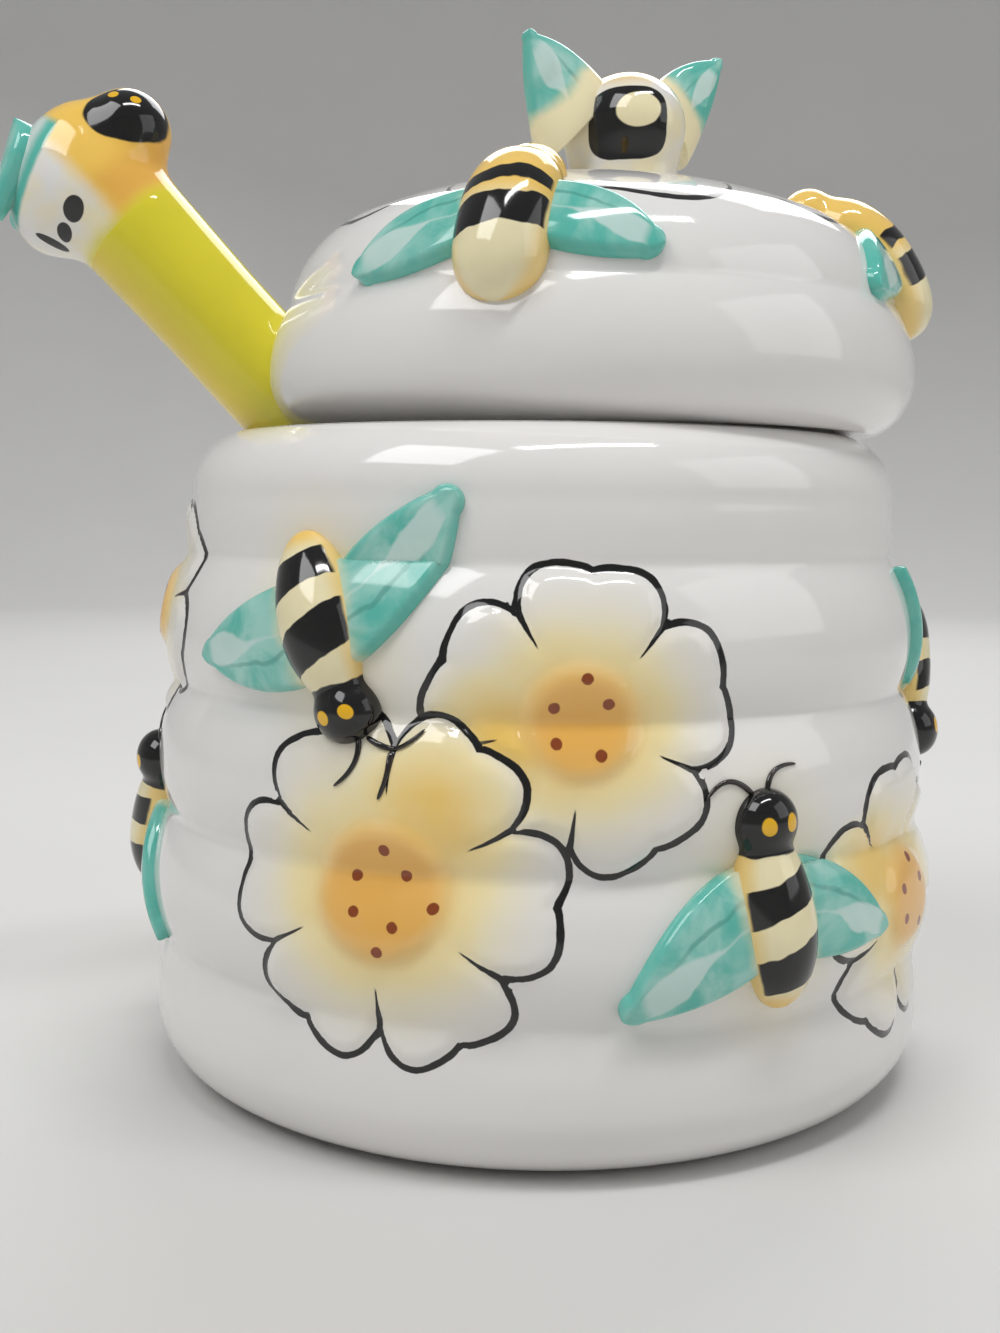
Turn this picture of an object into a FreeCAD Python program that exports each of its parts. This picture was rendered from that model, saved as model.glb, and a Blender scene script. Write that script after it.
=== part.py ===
import FreeCAD, Part
import math
import os

# Glazed ceramic honey pot in the form of a straw bee skep: a ribbed pot, a loose domed lid with
# a bee for its knob, and a dipper that leans out beside the lid and ends in a bee. Flowers and
# bees are sprigged on. Millimetres, +Z up, origin on the table at the pot's axis, front at -Y.
# An azimuth is in degrees round the axis, 0 at the front and growing to the right.

V = FreeCAD.Vector

# Pot shell
foot_width = 9.1              # of the ring that the pot stands on
foot_recess = 1.8
base_round = 9.2              # quarter round under the lowest rib
base_radius = 55.3            # lowest rib at its widest
base_rib_height = 19.2        # table to the first groove
base_rib_fall = 0.3           # draw-in of the lowest rib half way up to its groove
rib_pitch = 17.6
groove_insets = (1.3, 2.0, 3.7, 5.8)      # the four grooves, from below, in from the lowest rib
rib_bulge = 2.15              # how far a rib stands out from the line between its grooves
shoulder_height = 16.6        # last groove to the rim
shoulder_inset = 5.5          # shoulder in from the lowest rib
shoulder_fall = 0.2           # draw-in of the shoulder where its rounding starts
shoulder_round = 8.8          # height of the rounding from the shoulder to the rim
shoulder_bend_in = 1.5        # middle of that rounding, in from its start
shoulder_bend_share = 0.64    # and up from it, as a share of the rounding's height
rim_width = 6.1               # shoulder to the crown of the rim, level
rim_round = 1.5               # rounding of the mouth's inner edge
wall = 5.2
inner_ease = 0.8              # swell of the smooth inside between the grooves
floor_thickness = 6.0
floor_round = 8.0
start_turn = 37.0             # where the turned forms start, clear of the sprigs

# Fits
fit_gap = 0.4                 # between pieces that move against each other
seat_gap = 0.3                # under the lid

# Lid, from its own axis; rises are from its seat
lid_shift = 6.7               # the leaning shaft pushes the lid this far to the right
seat_inset = 2.0              # flat seat's edge inside the mouth
lid_overhang = 5.3            # seat's edge to the widest circle, level
lid_rib_rise = 7.6
lid_edge_in = 1.5             # middle of the rounding under the rib, in from the rib and up
lid_edge_rise = 2.9
lid_rib_fall = 0.6            # draw-in of the rib half way up to its groove
lid_groove_depth = 2.8
lid_groove_rise = 17.1
lid_side_in = 2.3             # dome's side between the groove and the shoulder, in and up
lid_side_rise = 23.2
lid_side_facing = 24.0        # degrees up from level that the dome faces there
lid_shoulder_in = 7.9
lid_shoulder_rise = 28.4
lid_shoulder_facing = 53.0
lid_height = 35.7             # crown above the seat
lid_wall = 4.4
lid_seat_fill = 2.4           # thicker clay inside the rib, over the seat
flange_root = 2.2             # top of the flange's inner face above the seat
flange_depth = 7.0
flange_wall = 4.0

# Dipper
shaft_tilt = 43.0             # degrees from upright, leaning to the left
shaft_radius = 8.1            # where it passes the rim and the lid
shaft_end_radius = 8.6        # under the finial
shaft_reach = 43.0            # from the rim plane to the finial, along the shaft
shaft_ease = 16.0             # length of the curve from the neck to the shaft
shaft_ease_swell = 0.6
finial_seat = 7.0             # how far the shaft runs on into the finial
neck_radius = 5.2
neck_length = 14.0
head_inset = 0.2              # the ringed end is this much slimmer, so that it draws out
head_end_radius = 6.6         # its first and last rings
head_groove_radius = 4.4
head_rings = 6
head_length = 36.0
ring_width = 4.0
ring_round = 1.2

# Flowers
petal_rise = 1.0
centre_rise = 2.1
petal_notch = 0.74            # radius of the notch between petals, as a share of the flower's
lobe_notch = 0.92             # and of the one in the middle of a petal

# Bees on the pot and the lid
oval_fill = 1.2               # end radius of an oval body, against an ellipse's
bee_radius = 5.1
bee_half_length = 11.4
bee_body_behind = 2.2         # middle of the body behind the bee's place
bee_head_radius = 4.1
bee_head_ahead = 9.6
bee_head_lift = 0.3
wing_rise = 1.6
wing_fore_root = 5.0          # where a wing's two edges start, ahead of and behind the bee's place
wing_aft_root = 8.0
wing_root_side = 3.0          # and beside the bee's axis
wing_tip_radius = 2.2
wing_fore_swell = 0.11        # how far a wing's edges bulge, as shares of their lengths
wing_aft_swell = 0.05
lid_bee_rise = 23.3           # middle, tail, waist and head of a lid bee, above the seat
lid_bee_tail_rise = 19.3
lid_bee_waist_rise = 27.3
lid_bee_head_rise = 30.9
lid_bee_swell = 0.8           # how much fuller it is than a bee on the pot
lid_bee_lift = 0.4            # how far its middle stands out of the dome
lid_bee_head_lift = 1.1
lid_wing_fore_rise = 27.0     # starts of a lid bee's wing and its tip, above the seat
lid_wing_aft_rise = 20.0
lid_wing_tip_rise = 17.6
lid_wing_span = 19.5          # wing tips to each side, round the dome
lid_wing_turn = 15.0          # degrees that a wing is turned off its bee
lid_wing_facing = 35.0        # degrees up from level that a wing faces

# The front's sprigs come again half a turn on, at the back.
half_turn = 180.0
# Flowers: azimuth, height, petal radius, centre radius, petals, angle of the first gap between
# petals from level. An earlier one lies over a later one.
paired_flowers = (
    (-18.5, 34.8, 21.0, 8.9, 6, 27.8),
    (5.3, 54.7, 18.0, 7.4, 5, 48.8),
    (58.0, 29.5, 18.0, 7.4, 5, 60.0),
)
side_flowers = (
    (-77.0, 65.0, 15.0, 6.4, 5, 10.0),
    (108.0, 30.0, 15.0, 6.4, 5, 30.0),
)
# Bees on the pot: azimuth, height, heading clockwise from up, then the tips of the left and the
# right wing, each ahead of the bee's place and beside its axis, clockwise from the heading
paired_bees = (
    (-28.5, 63.5, 158.0, (-4.5, 20.5), (-10.8, -21.0)),
    (30.0, 33.5, -6.0, (-10.4, -20.2), (-8.2, 18.7)),
)
side_bees = (
    (89.0, 56.0, 200.0, (-9.0, 19.0), (-9.0, -19.0)),
    (-84.0, 34.0, 20.0, (-9.0, -19.0), (-9.0, 19.0)),
)
lid_bee_azimuths = (-16.0, 82.0, 180.0)

# Knob bee
knob_shift = 4.5              # off the lid's axis, to the right
knob_half_length = 10.5
knob_radius = 8.0
knob_plinth_share = 0.88      # width of the foot under the knob, as a share of the body's
knob_turn = 26.0              # tail turned this far to the right of straight ahead
knob_sink = 1.0
knob_wing_root = 3.0          # inner start of a wing beside the middle, and above it
knob_wing_root_rise = 5.0
knob_wing_tip_radius = 1.1
# Left and right wing: tip beside and above the middle, outer start beside and above it
knob_wings = (
    (-15.5, 12.0, -12.8, -5.5),
    (15.5, 12.0, 9.5, -4.0),
)
free_wing_thickness = 4.2     # wings of the knob and the finial
free_wing_bevel = 1.5         # how much thinner such a wing is at its edge, on each side

# Finial bee; ahead is along the shaft, up is square to it
finial_half_length = 11.4
finial_radius = 8.3
finial_turn = 21.0            # degrees off square to the shaft, head outward
finial_ahead = 8.5            # middle past the end of the shaft
finial_drop = 1.8
finial_head_radius = 6.2
finial_head_ahead = 7.6
finial_head_up = 8.4
finial_wing_lean = 22.0       # degrees that a wing leans out to its side
finial_wing_root = 4.0        # wing root ahead of the middle, tip behind it
finial_wing_tip = 10.0
finial_root_sink = 0.9        # root and tip under the surface of the back
finial_tip_sink = 2.6
finial_root_side = 2.2
finial_tip_side = 5.0
finial_wing_width = 8.5

# Derived
groove_radii = [base_radius - inset for inset in groove_insets]
shoulder_radius = base_radius - shoulder_inset
foot_inner_radius = base_radius - base_round - foot_width
groove_heights = [base_rib_height + i * rib_pitch for i in range(len(groove_radii))]
rim_height = groove_heights[-1] + shoulder_height
mouth_radius = shoulder_radius - rim_width - rim_round
seat_height = rim_height + seat_gap
lid_seat_radius = mouth_radius - seat_inset
lid_rib_radius = lid_seat_radius + lid_overhang
lid_groove_radius = lid_rib_radius - lid_groove_depth
lid_shoulder_radius = lid_groove_radius - lid_shoulder_in
flange_radius = mouth_radius - lid_shift - fit_gap
head_radius = shaft_radius - head_inset
tilt = math.radians(shaft_tilt)
shaft_dir = V(-math.sin(tilt), 0, math.cos(tilt))
shaft_up = V(math.cos(tilt), 0, math.sin(tilt))
rim_edge = V(-mouth_radius - rim_round, 0, rim_height - rim_round)
shaft_at_edge = rim_edge + shaft_up * (rim_round + fit_gap + shaft_radius)
shaft_at_rim = shaft_at_edge + shaft_dir * ((rim_height - shaft_at_edge.z) / shaft_dir.z)
tip_height = floor_thickness + fit_gap + head_end_radius * shaft_up.z
shaft_sunk = (rim_height - tip_height) / shaft_dir.z
shaft_end = shaft_at_rim + shaft_dir * shaft_reach

os.makedirs("parts", exist_ok=True)


def export(node, shape):
    """Writes one node's solid."""
    if len(shape.Solids) != 1 or not shape.Solids[0].isValid():
        raise ValueError("node %s has %d solids" % (node, len(shape.Solids)))
    shape.Solids[0].exportStep("parts/%s.step" % node)


def at(r, z):
    """Point of an outline that is turned on the upright axis."""
    return V(r, 0, z)


def facing(degrees):
    """Direction of an outline's outside, in degrees up from level."""
    return at(math.cos(math.radians(degrees)), math.sin(math.radians(degrees)))


def line(a, b):
    return Part.LineSegment(a, b).toShape()


def arc(a, mid, b):
    return Part.Arc(a, mid, b).toShape()


def path(points):
    """Straight edges from point to point."""
    return [line(a, b) for a, b in zip(points, points[1:])]


def turned(edges, axis=V(0, 0, 1)):
    """The solid that a closed outline makes when it is turned about an axis through the origin."""
    return Part.Face(Part.Wire(edges)).revolve(V(0, 0, 0), axis, 360)


def thrown(edges):
    """A solid turned on the upright axis, its start line at an azimuth with no sprig."""
    solid = turned(edges)
    solid.rotate(V(0, 0, 0), V(0, 0, 1), start_turn)
    return solid


def arc_radius(three, z):
    """Radius at height z on the circular arc through three outline points."""
    (ax, az), (bx, bz), (cx, cz) = [(p.x, p.z) for p in three]
    d = 2 * (ax * (bz - cz) + bx * (cz - az) + cx * (az - bz))
    a2 = ax * ax + az * az
    b2 = bx * bx + bz * bz
    c2 = cx * cx + cz * cz
    mx = (a2 * (bz - cz) + b2 * (cz - az) + c2 * (az - bz)) / d
    mz = (a2 * (cx - bx) + b2 * (ax - cx) + c2 * (bx - ax)) / d
    reach = (ax - mx) ** 2 + (az - mz) ** 2 - (z - mz) ** 2
    return mx + math.sqrt(max(0.0, reach))


def radius_on(outline, z):
    """Radius of an outline of arcs, listed from below, at height z."""
    for three in outline:
        if z <= three[2].z:
            break
    return arc_radius(three, z)


def skep_outline(d):
    """Arcs of the ribbed wall, from the foot up to the rim's crown, d further out."""
    turn = base_round * math.sqrt(0.5)
    side = at(base_radius + d, base_round)
    low = at(groove_radii[0] + d, groove_heights[0])
    outline = [
        (at(side.x - base_round, 0), at(side.x - base_round + turn, base_round - turn), side),
        (side, at(side.x - base_rib_fall, (side.z + low.z) / 2), low),
    ]
    for radius, height in zip(groove_radii[1:], groove_heights[1:]):
        high = at(radius + d, height)
        outline.append((low, (low + high) / 2 + V(rib_bulge, 0, 0), high))
        low = high
    neck = at(shoulder_radius - shoulder_fall + d, rim_height - shoulder_round)
    outline.append((low, at(shoulder_radius + d, (low.z + neck.z) / 2), neck))
    bend = neck + V(-shoulder_bend_in, 0, shoulder_round * shoulder_bend_share + d / 2)
    outline.append((neck, bend, at(mouth_radius + rim_round, rim_height + d)))
    return outline


def skep_solid(d):
    """The ribbed form as a full block, d larger, for seating the sprigs."""
    outline = skep_outline(d)
    crown = outline[-1][2]
    edges = [arc(*three) for three in outline]
    edges += path([crown, at(0, crown.z), at(0, 0), outline[0][0]])
    return thrown(edges)


def pot_shell():
    """Ribbed wall, rounded rim, plain inside and a recessed foot."""
    outline = skep_outline(0)
    edges = [arc(*three) for three in outline]
    crown = outline[-1][2]
    lip = at(mouth_radius, rim_height - rim_round)
    bend = rim_round * math.sqrt(0.5)
    edges.append(arc(crown, at(crown.x - bend, lip.z + bend), lip))
    inner = [r - wall for r in groove_radii]
    heel = at(inner[0], floor_thickness + floor_round)
    inside = Part.BSplineCurve()
    inside.interpolate([
        lip,
        at(inner[3], groove_heights[3]),
        at(inner[2] + inner_ease, groove_heights[2]),
        at(inner[0] + 2 * inner_ease, groove_heights[0] + rib_pitch / 2),
        heel,
    ])
    edges.append(inside.toShape())
    toe = at(heel.x - floor_round, floor_thickness)
    corner = floor_round * math.sqrt(0.5)
    edges.append(arc(heel, at(toe.x + corner, heel.z - corner), toe))
    edges += path([
        toe,
        at(0, floor_thickness),
        at(0, foot_recess),
        at(foot_inner_radius, foot_recess),
        at(foot_inner_radius, 0),
        outline[0][0],
    ])
    return thrown(edges)


def cap_ball(edge, crown):
    """Radius of the sphere that passes an edge circle and is level at a crown on the axis."""
    fall = crown.z - edge.z
    return (edge.x * edge.x + fall * fall) / (2 * fall)


def cap_arc(edge, crown):
    """Arc of that sphere from the edge up to the crown."""
    ball = cap_ball(edge, crown)
    half = edge.x / 2
    return edge, at(half, crown.z - ball + math.sqrt(ball * ball - half * half)), crown


def lid_outline(d):
    """Arcs of the lid from its seat up over the rib and dome to the crown, d further out."""
    z = seat_height
    widest = at(lid_rib_radius + d, z + lid_rib_rise)
    groove = at(lid_groove_radius + d, z + lid_groove_rise)
    side = at(lid_groove_radius - lid_side_in, z + lid_side_rise) + facing(lid_side_facing) * d
    shoulder = at(lid_shoulder_radius, z + lid_shoulder_rise) + facing(lid_shoulder_facing) * d
    return [
        (at(lid_seat_radius + d, z), at(widest.x - lid_edge_in, z + lid_edge_rise), widest),
        (widest, at(widest.x - lid_rib_fall, (widest.z + groove.z) / 2), groove),
        (groove, side, shoulder),
        cap_arc(shoulder, at(0, z + lid_height + d)),
    ]


def lid_block(d):
    """The lid's outer form as a full block on the lid's axis, d larger."""
    outline = lid_outline(d)
    edges = [arc(*three) for three in outline]
    edges += path([outline[-1][2], at(0, seat_height), outline[0][0]])
    return thrown(edges).translated(V(lid_shift, 0, 0))


def shaft_notch():
    """Arch for the shaft, open downward so that the lid lifts straight off it."""
    r = shaft_radius + fit_gap
    sunk = flange_depth + 2 * shaft_radius
    base = shaft_at_rim - shaft_dir * sunk
    a = base + V(0, r, 0)
    b = base - V(0, r, 0)
    below = shaft_up * -lid_height
    edges = [arc(a, base + shaft_up * r, b)] + path([b, b + below, a + below, a])
    return Part.Face(Part.Wire(edges)).extrude(shaft_dir * (sunk + lid_rib_radius))


def lid_shell():
    """Hollow dome with a flange that hangs in the mouth, notched for the shaft."""
    outline = lid_outline(0)
    edges = [arc(*three) for three in outline]
    seat = outline[0][0]
    shoulder, cap, crown = outline[-1]
    inside = flange_radius - flange_wall
    foot = seat.z - flange_depth
    roof = at(0, crown.z - lid_wall)
    root = at(inside, seat.z + flange_root)
    hollow = Part.BSplineCurve()
    hollow.interpolate([
        roof,
        cap - V(0, 0, lid_wall),
        shoulder - facing(lid_shoulder_facing) * lid_wall,
        outline[1][2] - V(lid_wall, 0, 0),
        outline[0][2] - V(lid_wall + lid_seat_fill, 0, 0),
        root,
    ])
    edges.append(line(crown, roof))
    edges.append(hollow.toShape())
    flange = [at(inside, foot), at(flange_radius, foot), at(flange_radius, seat.z)]
    edges += path([root] + flange + [seat])
    return thrown(edges).translated(V(lid_shift, 0, 0)).cut(shaft_notch())


def ring(azimuth, r, z, centre_x=0.0):
    """Point at an azimuth, radius and height about an upright axis."""
    a = math.radians(azimuth)
    return V(centre_x + r * math.sin(a), -r * math.cos(a), z)


def outward(azimuth):
    return ring(azimuth, 1.0, 0.0)


def rightward(azimuth):
    return ring(azimuth + 90.0, 1.0, 0.0)


def placed(shape, where, x_axis, z_axis):
    """A shape moved so that its X and Z axes lie along two directions at a point."""
    x = V(x_axis).normalize()
    y = V(z_axis).cross(x).normalize()
    z = x.cross(y)
    m = FreeCAD.Matrix(x.x, y.x, z.x, where.x, x.y, y.y, z.y, where.y, x.z, y.z, z.z, where.z,
                       0, 0, 0, 1)
    copy = shape.copy()
    copy.transformShape(m)
    return copy


def largest(shape):
    """The largest solid of a cut, without the crumbs beside it."""
    return max(shape.Solids, key=lambda solid: solid.Volume)


def ovoid(half, radius):
    """Oval body about the X axis, a wide arc between two round ends, its start line underneath."""
    end = oval_fill * radius * radius / half
    wide = ((half - end) ** 2 + radius * radius - end * end) / (2 * (radius - end))
    turn = math.asin((wide - radius) / (wide - end))

    def on_end(side, angle):
        return V(side * (half - end + end * math.cos(angle)), end * math.sin(angle), 0)

    edges = [
        arc(on_end(-1, 0), on_end(-1, turn / 2), on_end(-1, turn)),
        arc(on_end(-1, turn), V(0, radius, 0), on_end(1, turn)),
        arc(on_end(1, turn), on_end(1, turn / 2), on_end(1, 0)),
        line(on_end(1, 0), on_end(-1, 0)),
    ]
    body = turned(edges, V(1, 0, 0))
    body.rotate(V(0, 0, 0), V(1, 0, 0), -90)
    return body


def swollen(a, b, inside, swell):
    """Edge from a to b that bulges away from a point of its plane by a share of its length."""
    along = (b - a).normalize()
    middle = (a + b) / 2
    out = middle - inside
    out = (out - along * out.dot(along)).normalize()
    return arc(a, middle + out * ((b - a).Length * swell), b)


def wing_axes(fore, tip, aft):
    """Directions out along a wing and across it, from its rear edge to its front edge."""
    out = (tip - (fore + aft) / 2).normalize()
    across = fore - aft
    return out, (across - out * across.dot(out)).normalize()


def wing_face(fore, tip, aft, tip_radius):
    """Flat wing between two starts and a round tip, with full edges."""
    out, across = wing_axes(fore, tip, aft)
    centre = tip - out * tip_radius
    fore_end = centre + across * tip_radius
    aft_end = centre - across * tip_radius
    return Part.Face(Part.Wire([
        swollen(fore, fore_end, aft, wing_fore_swell),
        arc(fore_end, tip, aft_end),
        swollen(aft_end, aft, fore, wing_aft_swell),
        line(aft, fore),
    ]))


def free_wing(fore, tip, aft, tip_radius):
    """Wing that stands free: a flat wing made thick, its two faces round across."""
    out, across = wing_axes(fore, tip, aft)
    normal = out.cross(across)
    wing = wing_face(fore, tip, aft, tip_radius).extrude(normal * free_wing_thickness)
    wing.translate(normal * (-free_wing_thickness / 2))
    half = (fore - aft).Length / 2
    back = (half * half + free_wing_bevel ** 2) / (2 * free_wing_bevel)
    start = (fore + aft) / 2 - out * back
    for side in (-1, 1):
        line_start = start + normal * (side * (free_wing_thickness / 2 - back))
        wing = wing.common(Part.makeCylinder(back, 4 * back, line_start, out))
    return wing


def petal_outline(radius, petals, first_gap):
    """Closed wire of a flower in the XY plane: petals of two round lobes, from equal arcs."""
    lobes = 2 * petals
    step = 2 * math.pi / lobes
    start = math.radians(first_gap)

    def polar(share, steps):
        a = start + steps * step
        return V(radius * share * math.cos(a), radius * share * math.sin(a), 0)

    edges = []
    for i in range(0, lobes, 2):
        middle = polar(lobe_notch, i + 1)
        edges.append(arc(polar(petal_notch, i), polar(1.0, i + 0.5), middle))
        edges.append(arc(middle, polar(1.0, i + 1.5), polar(petal_notch, i + 2)))
    return Part.Wire(edges)


def carried(face, normal):
    """A flat face near a surface carried through it, along a direction."""
    return face.translated(normal * (-base_radius / 2)).extrude(normal * (base_radius * 3 / 4))


def laid_wing(fore, tip, aft, normal):
    """A wing seen square on to a surface, between three of its points, carried through it."""
    flat = [point - normal * (point - tip).dot(normal) for point in (fore, tip, aft)]
    return carried(wing_face(*flat, wing_tip_radius), normal)


def through_wall(wire, where, x_axis, normal):
    """A flat outline carried through the wall at a place, along the wall's normal there."""
    return carried(placed(Part.Face(wire), where, x_axis, normal), normal)


skep = skep_solid(0)
skep_petals = skep_solid(petal_rise)
skep_centres = skep_solid(centre_rise)
skep_wings = skep_solid(wing_rise)
lid_form = lid_block(0)
lid_wings = lid_block(wing_rise)
pot_outline = skep_outline(0)
dome_outline = lid_outline(0)


def bee_body(middle, head_at, axis, normal, swell):
    """Barrel-shaped body with a round head, on a surface."""
    barrel = placed(ovoid(bee_half_length, bee_radius + swell), middle, axis, normal)
    return barrel.fuse(Part.makeSphere(bee_head_radius + swell / 2, head_at, normal))


def pot_bee(azimuth, z, heading, left_tip, right_tip):
    """Body and two wings of a bee sprigged on the pot."""
    h = math.radians(heading)

    def surface(forward, side, lift=0.0):
        across = forward * math.sin(h) + side * math.cos(h)
        height = z + forward * math.cos(h) - side * math.sin(h)
        r = radius_on(pot_outline, height)
        az = azimuth + math.degrees(across / r)
        return ring(az, r + lift, height), az

    middle = surface(-bee_body_behind, 0)[0]
    head_at = surface(bee_head_ahead, 0, bee_head_lift)[0]
    axis = surface(0, 0)[0] - surface(-2 * bee_body_behind, 0)[0]
    body = bee_body(middle, head_at, axis, outward(azimuth), 0.0)
    pieces = [body.cut(skep)]
    for ahead, beside in (left_tip, right_tip):
        start = math.copysign(wing_root_side, beside)
        fore = surface(wing_fore_root, start)[0]
        aft = surface(-wing_aft_root, start)[0]
        normal = outward(surface(ahead / 2, beside / 2)[1])
        prism = laid_wing(fore, surface(ahead, beside)[0], aft, normal)
        pieces.append(largest(prism.common(skep_wings).cut(skep).cut(body)))
    return pieces


def lid_bee(azimuth):
    """Body and two wings of a bee that lies over the shoulder of the lid's dome."""
    def surface(rise, side=0.0):
        height = seat_height + rise
        r = radius_on(dome_outline, height)
        return ring(azimuth + math.degrees(side / r), r, height, lid_shift)

    steep = (outward(azimuth) + V(0, 0, 1)).normalize()
    middle = surface(lid_bee_rise) + steep * lid_bee_lift
    axis = surface(lid_bee_waist_rise) - surface(lid_bee_tail_rise)
    head_at = surface(lid_bee_head_rise) + steep * lid_bee_head_lift
    body = bee_body(middle, head_at, axis, steep, lid_bee_swell)
    pieces = [body.cut(lid_form)]
    slope = math.radians(lid_wing_facing)
    for side in (-1, 1):
        fore = surface(lid_wing_fore_rise, side * wing_root_side)
        aft = surface(lid_wing_aft_rise, side * wing_root_side)
        tip = surface(lid_wing_tip_rise, side * lid_wing_span)
        normal = outward(azimuth + side * lid_wing_turn) * math.cos(slope) + V(0, 0, math.sin(slope))
        prism = laid_wing(fore, tip, aft, normal)
        pieces.append(largest(prism.common(lid_wings).cut(lid_form).cut(body)))
    return pieces


def knob_bee():
    """Body and two upright wings of the knob."""
    tail_dir = outward(knob_turn)
    side_dir = rightward(knob_turn)
    up = V(0, 0, 1)
    shoulder, _, crown = dome_outline[-1]
    ball = cap_ball(shoulder, crown)
    dome = Part.makeSphere(ball, V(lid_shift, 0, crown.z - ball))
    centre = V(lid_shift + knob_shift, 0, crown.z + knob_radius - knob_sink)
    half_width = knob_radius * knob_plinth_share
    depth = knob_radius + lid_wall
    oval = Part.Ellipse(up * -depth, knob_half_length * knob_plinth_share, half_width).toShape()
    plinth = Part.Face(Part.Wire([oval])).extrude(up * depth)
    body = ovoid(knob_half_length, knob_radius).fuse(plinth)
    body = placed(body, centre, tail_dir, up).cut(dome)
    wings = []
    for tip_side, tip_up, foot_side, foot_up in knob_wings:
        root_side = math.copysign(knob_wing_root, tip_side)
        fore = centre + side_dir * root_side + up * knob_wing_root_rise
        tip = centre + side_dir * tip_side + up * tip_up
        foot = centre + side_dir * foot_side + up * foot_up
        wing = free_wing(fore, tip, foot, knob_wing_tip_radius)
        wings.append(largest(wing.cut(body).cut(dome)))
    return [body] + wings


def finial_bee():
    """Body, head and two folded wings of the bee across the end of the shaft."""
    turn = math.radians(finial_turn)
    lean = math.radians(finial_wing_lean)
    forward = shaft_up * math.cos(turn) + shaft_dir * math.sin(turn)
    back = shaft_dir * math.cos(turn) - shaft_up * math.sin(turn)
    centre = shaft_end + shaft_dir * finial_ahead - shaft_up * finial_drop
    body = placed(ovoid(finial_half_length, finial_radius), centre, forward, back)
    head_at = shaft_end + shaft_dir * finial_head_ahead + shaft_up * finial_head_up
    head = Part.makeSphere(finial_head_radius, head_at).cut(body)
    box = 4 * finial_half_length
    wings = []
    for side in (-1, 1):
        beside = V(0, side, 0)
        root = centre + forward * finial_wing_root + back * (finial_radius - finial_root_sink)
        tip = centre - forward * finial_wing_tip + back * (finial_radius - finial_tip_sink)
        root += beside * finial_root_side
        tip += beside * finial_tip_side
        out = back * math.cos(lean) + beside * math.sin(lean)
        half_root = out.cross(tip - root).normalize() * (side * finial_wing_width / 2)
        wing = free_wing(root + half_root, tip, root - half_root, wing_tip_radius)
        half = Part.makeBox(box, box, box, centre - V(box / 2, 0 if side > 0 else box, box / 2))
        wings.append(largest(wing.common(half).cut(body).cut(head)))
    return [body, head] + wings


def dipper_shaft(end_body):
    """Handle, neck and ringed end in one turned stick, seated against the finial."""
    def along(s, r):
        return V(r, 0, s)

    edges = []
    last = along(0, 0)
    pitch = head_length / head_rings
    for i in range(head_rings):
        swell = math.sin(math.pi * i / (head_rings - 1))
        r = head_end_radius + (head_radius - head_end_radius) * swell
        low = along(i * pitch, r - ring_round)
        high = along(low.z + ring_width, low.x)
        groove = along(low.z, head_groove_radius)
        edges += path([last, groove, low] if i else [last, low])
        edges.append(arc(low, along(low.z + ring_width / 2, r), high))
        last = along(high.z, head_groove_radius)
        edges.append(line(high, last))
    neck = along(head_length, head_groove_radius)
    waist = along(neck.z + neck_length, neck_radius)
    grip = along(waist.z + shaft_ease, shaft_radius)
    past_lid = along(shaft_sunk + 3 * shaft_radius, shaft_radius)
    end = along(shaft_sunk + shaft_reach + finial_seat, shaft_end_radius)
    edges += path([last, neck, waist])
    edges.append(arc(waist, (waist + grip) / 2 + along(0, shaft_ease_swell), grip))
    edges += path([grip, past_lid, end, along(end.z, 0), along(0, 0)])
    tip = shaft_at_rim - shaft_dir * shaft_sunk
    return placed(turned(edges), tip, V(0, 1, 0), shaft_dir).cut(end_body)


def flower(azimuth, z, radius, centre_radius, petals, first_gap, over):
    """Petals and centre of a flower on the pot, cut back where it goes under other sprigs."""
    where = ring(azimuth, radius_on(pot_outline, z), z)
    there = (where, rightward(azimuth), outward(azimuth))
    disc = Part.Wire([Part.Circle(V(0, 0, 0), V(0, 0, 1), centre_radius).toShape()])
    disc = through_wall(disc, *there)
    rosette = through_wall(petal_outline(radius, petals, first_gap), *there)
    pieces = [rosette.common(skep_petals).cut(skep).cut(disc), disc.common(skep_centres).cut(skep)]
    near = [sprig for sprig in over if sprig.BoundBox.intersect(pieces[0].BoundBox)]
    return [largest(piece.cut(near) if near else piece) for piece in pieces]


def around(paired, single):
    """Values of sprigs that come twice, half a turn apart, and of sprigs that come once."""
    again = [(values[0] + half_turn,) + values[1:] for values in paired]
    return list(paired) + again + list(single)


export("pot_shell", pot_shell())
export("lid_shell", lid_shell())

sprigs = []
for number, values in enumerate(around(paired_bees, side_bees), 1):
    pieces = pot_bee(*values)
    sprigs += pieces
    for name, piece in zip(("body", "wing_left", "wing_right"), pieces):
        export("pot_bee_%d_%s" % (number, name), piece)

for number, values in enumerate(around(paired_flowers, side_flowers), 1):
    pieces = flower(*values, over=sprigs)
    sprigs += pieces
    for name, piece in zip(("petals", "centre"), pieces):
        export("flower_%d_%s" % (number, name), piece)

for number, azimuth in enumerate(lid_bee_azimuths, 1):
    for name, piece in zip(("body", "wing_left", "wing_right"), lid_bee(azimuth)):
        export("lid_bee_%d_%s" % (number, name), piece)

for name, piece in zip(("body", "wing_left", "wing_right"), knob_bee()):
    export("knob_%s" % name, piece)

finial = finial_bee()
for name, piece in zip(("body", "head", "wing_front", "wing_back"), finial):
    export("finial_%s" % name, piece)
export("dipper_shaft", dipper_shaft(finial[0].fuse(finial[1:])))
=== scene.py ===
"""Glazed surfaces, sprigs and painting of a ceramic honey pot in the form of a straw bee skep.

Lengths are in metres, +Z is up and the front of the pot faces -Y. An azimuth is an angle round an
upright axis, 0 at the front and growing to the right. Grids have their rows along the first
parameter of a surface and their columns along the second, and seen from outside the columns run to
the right where the rows run up.
"""

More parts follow.
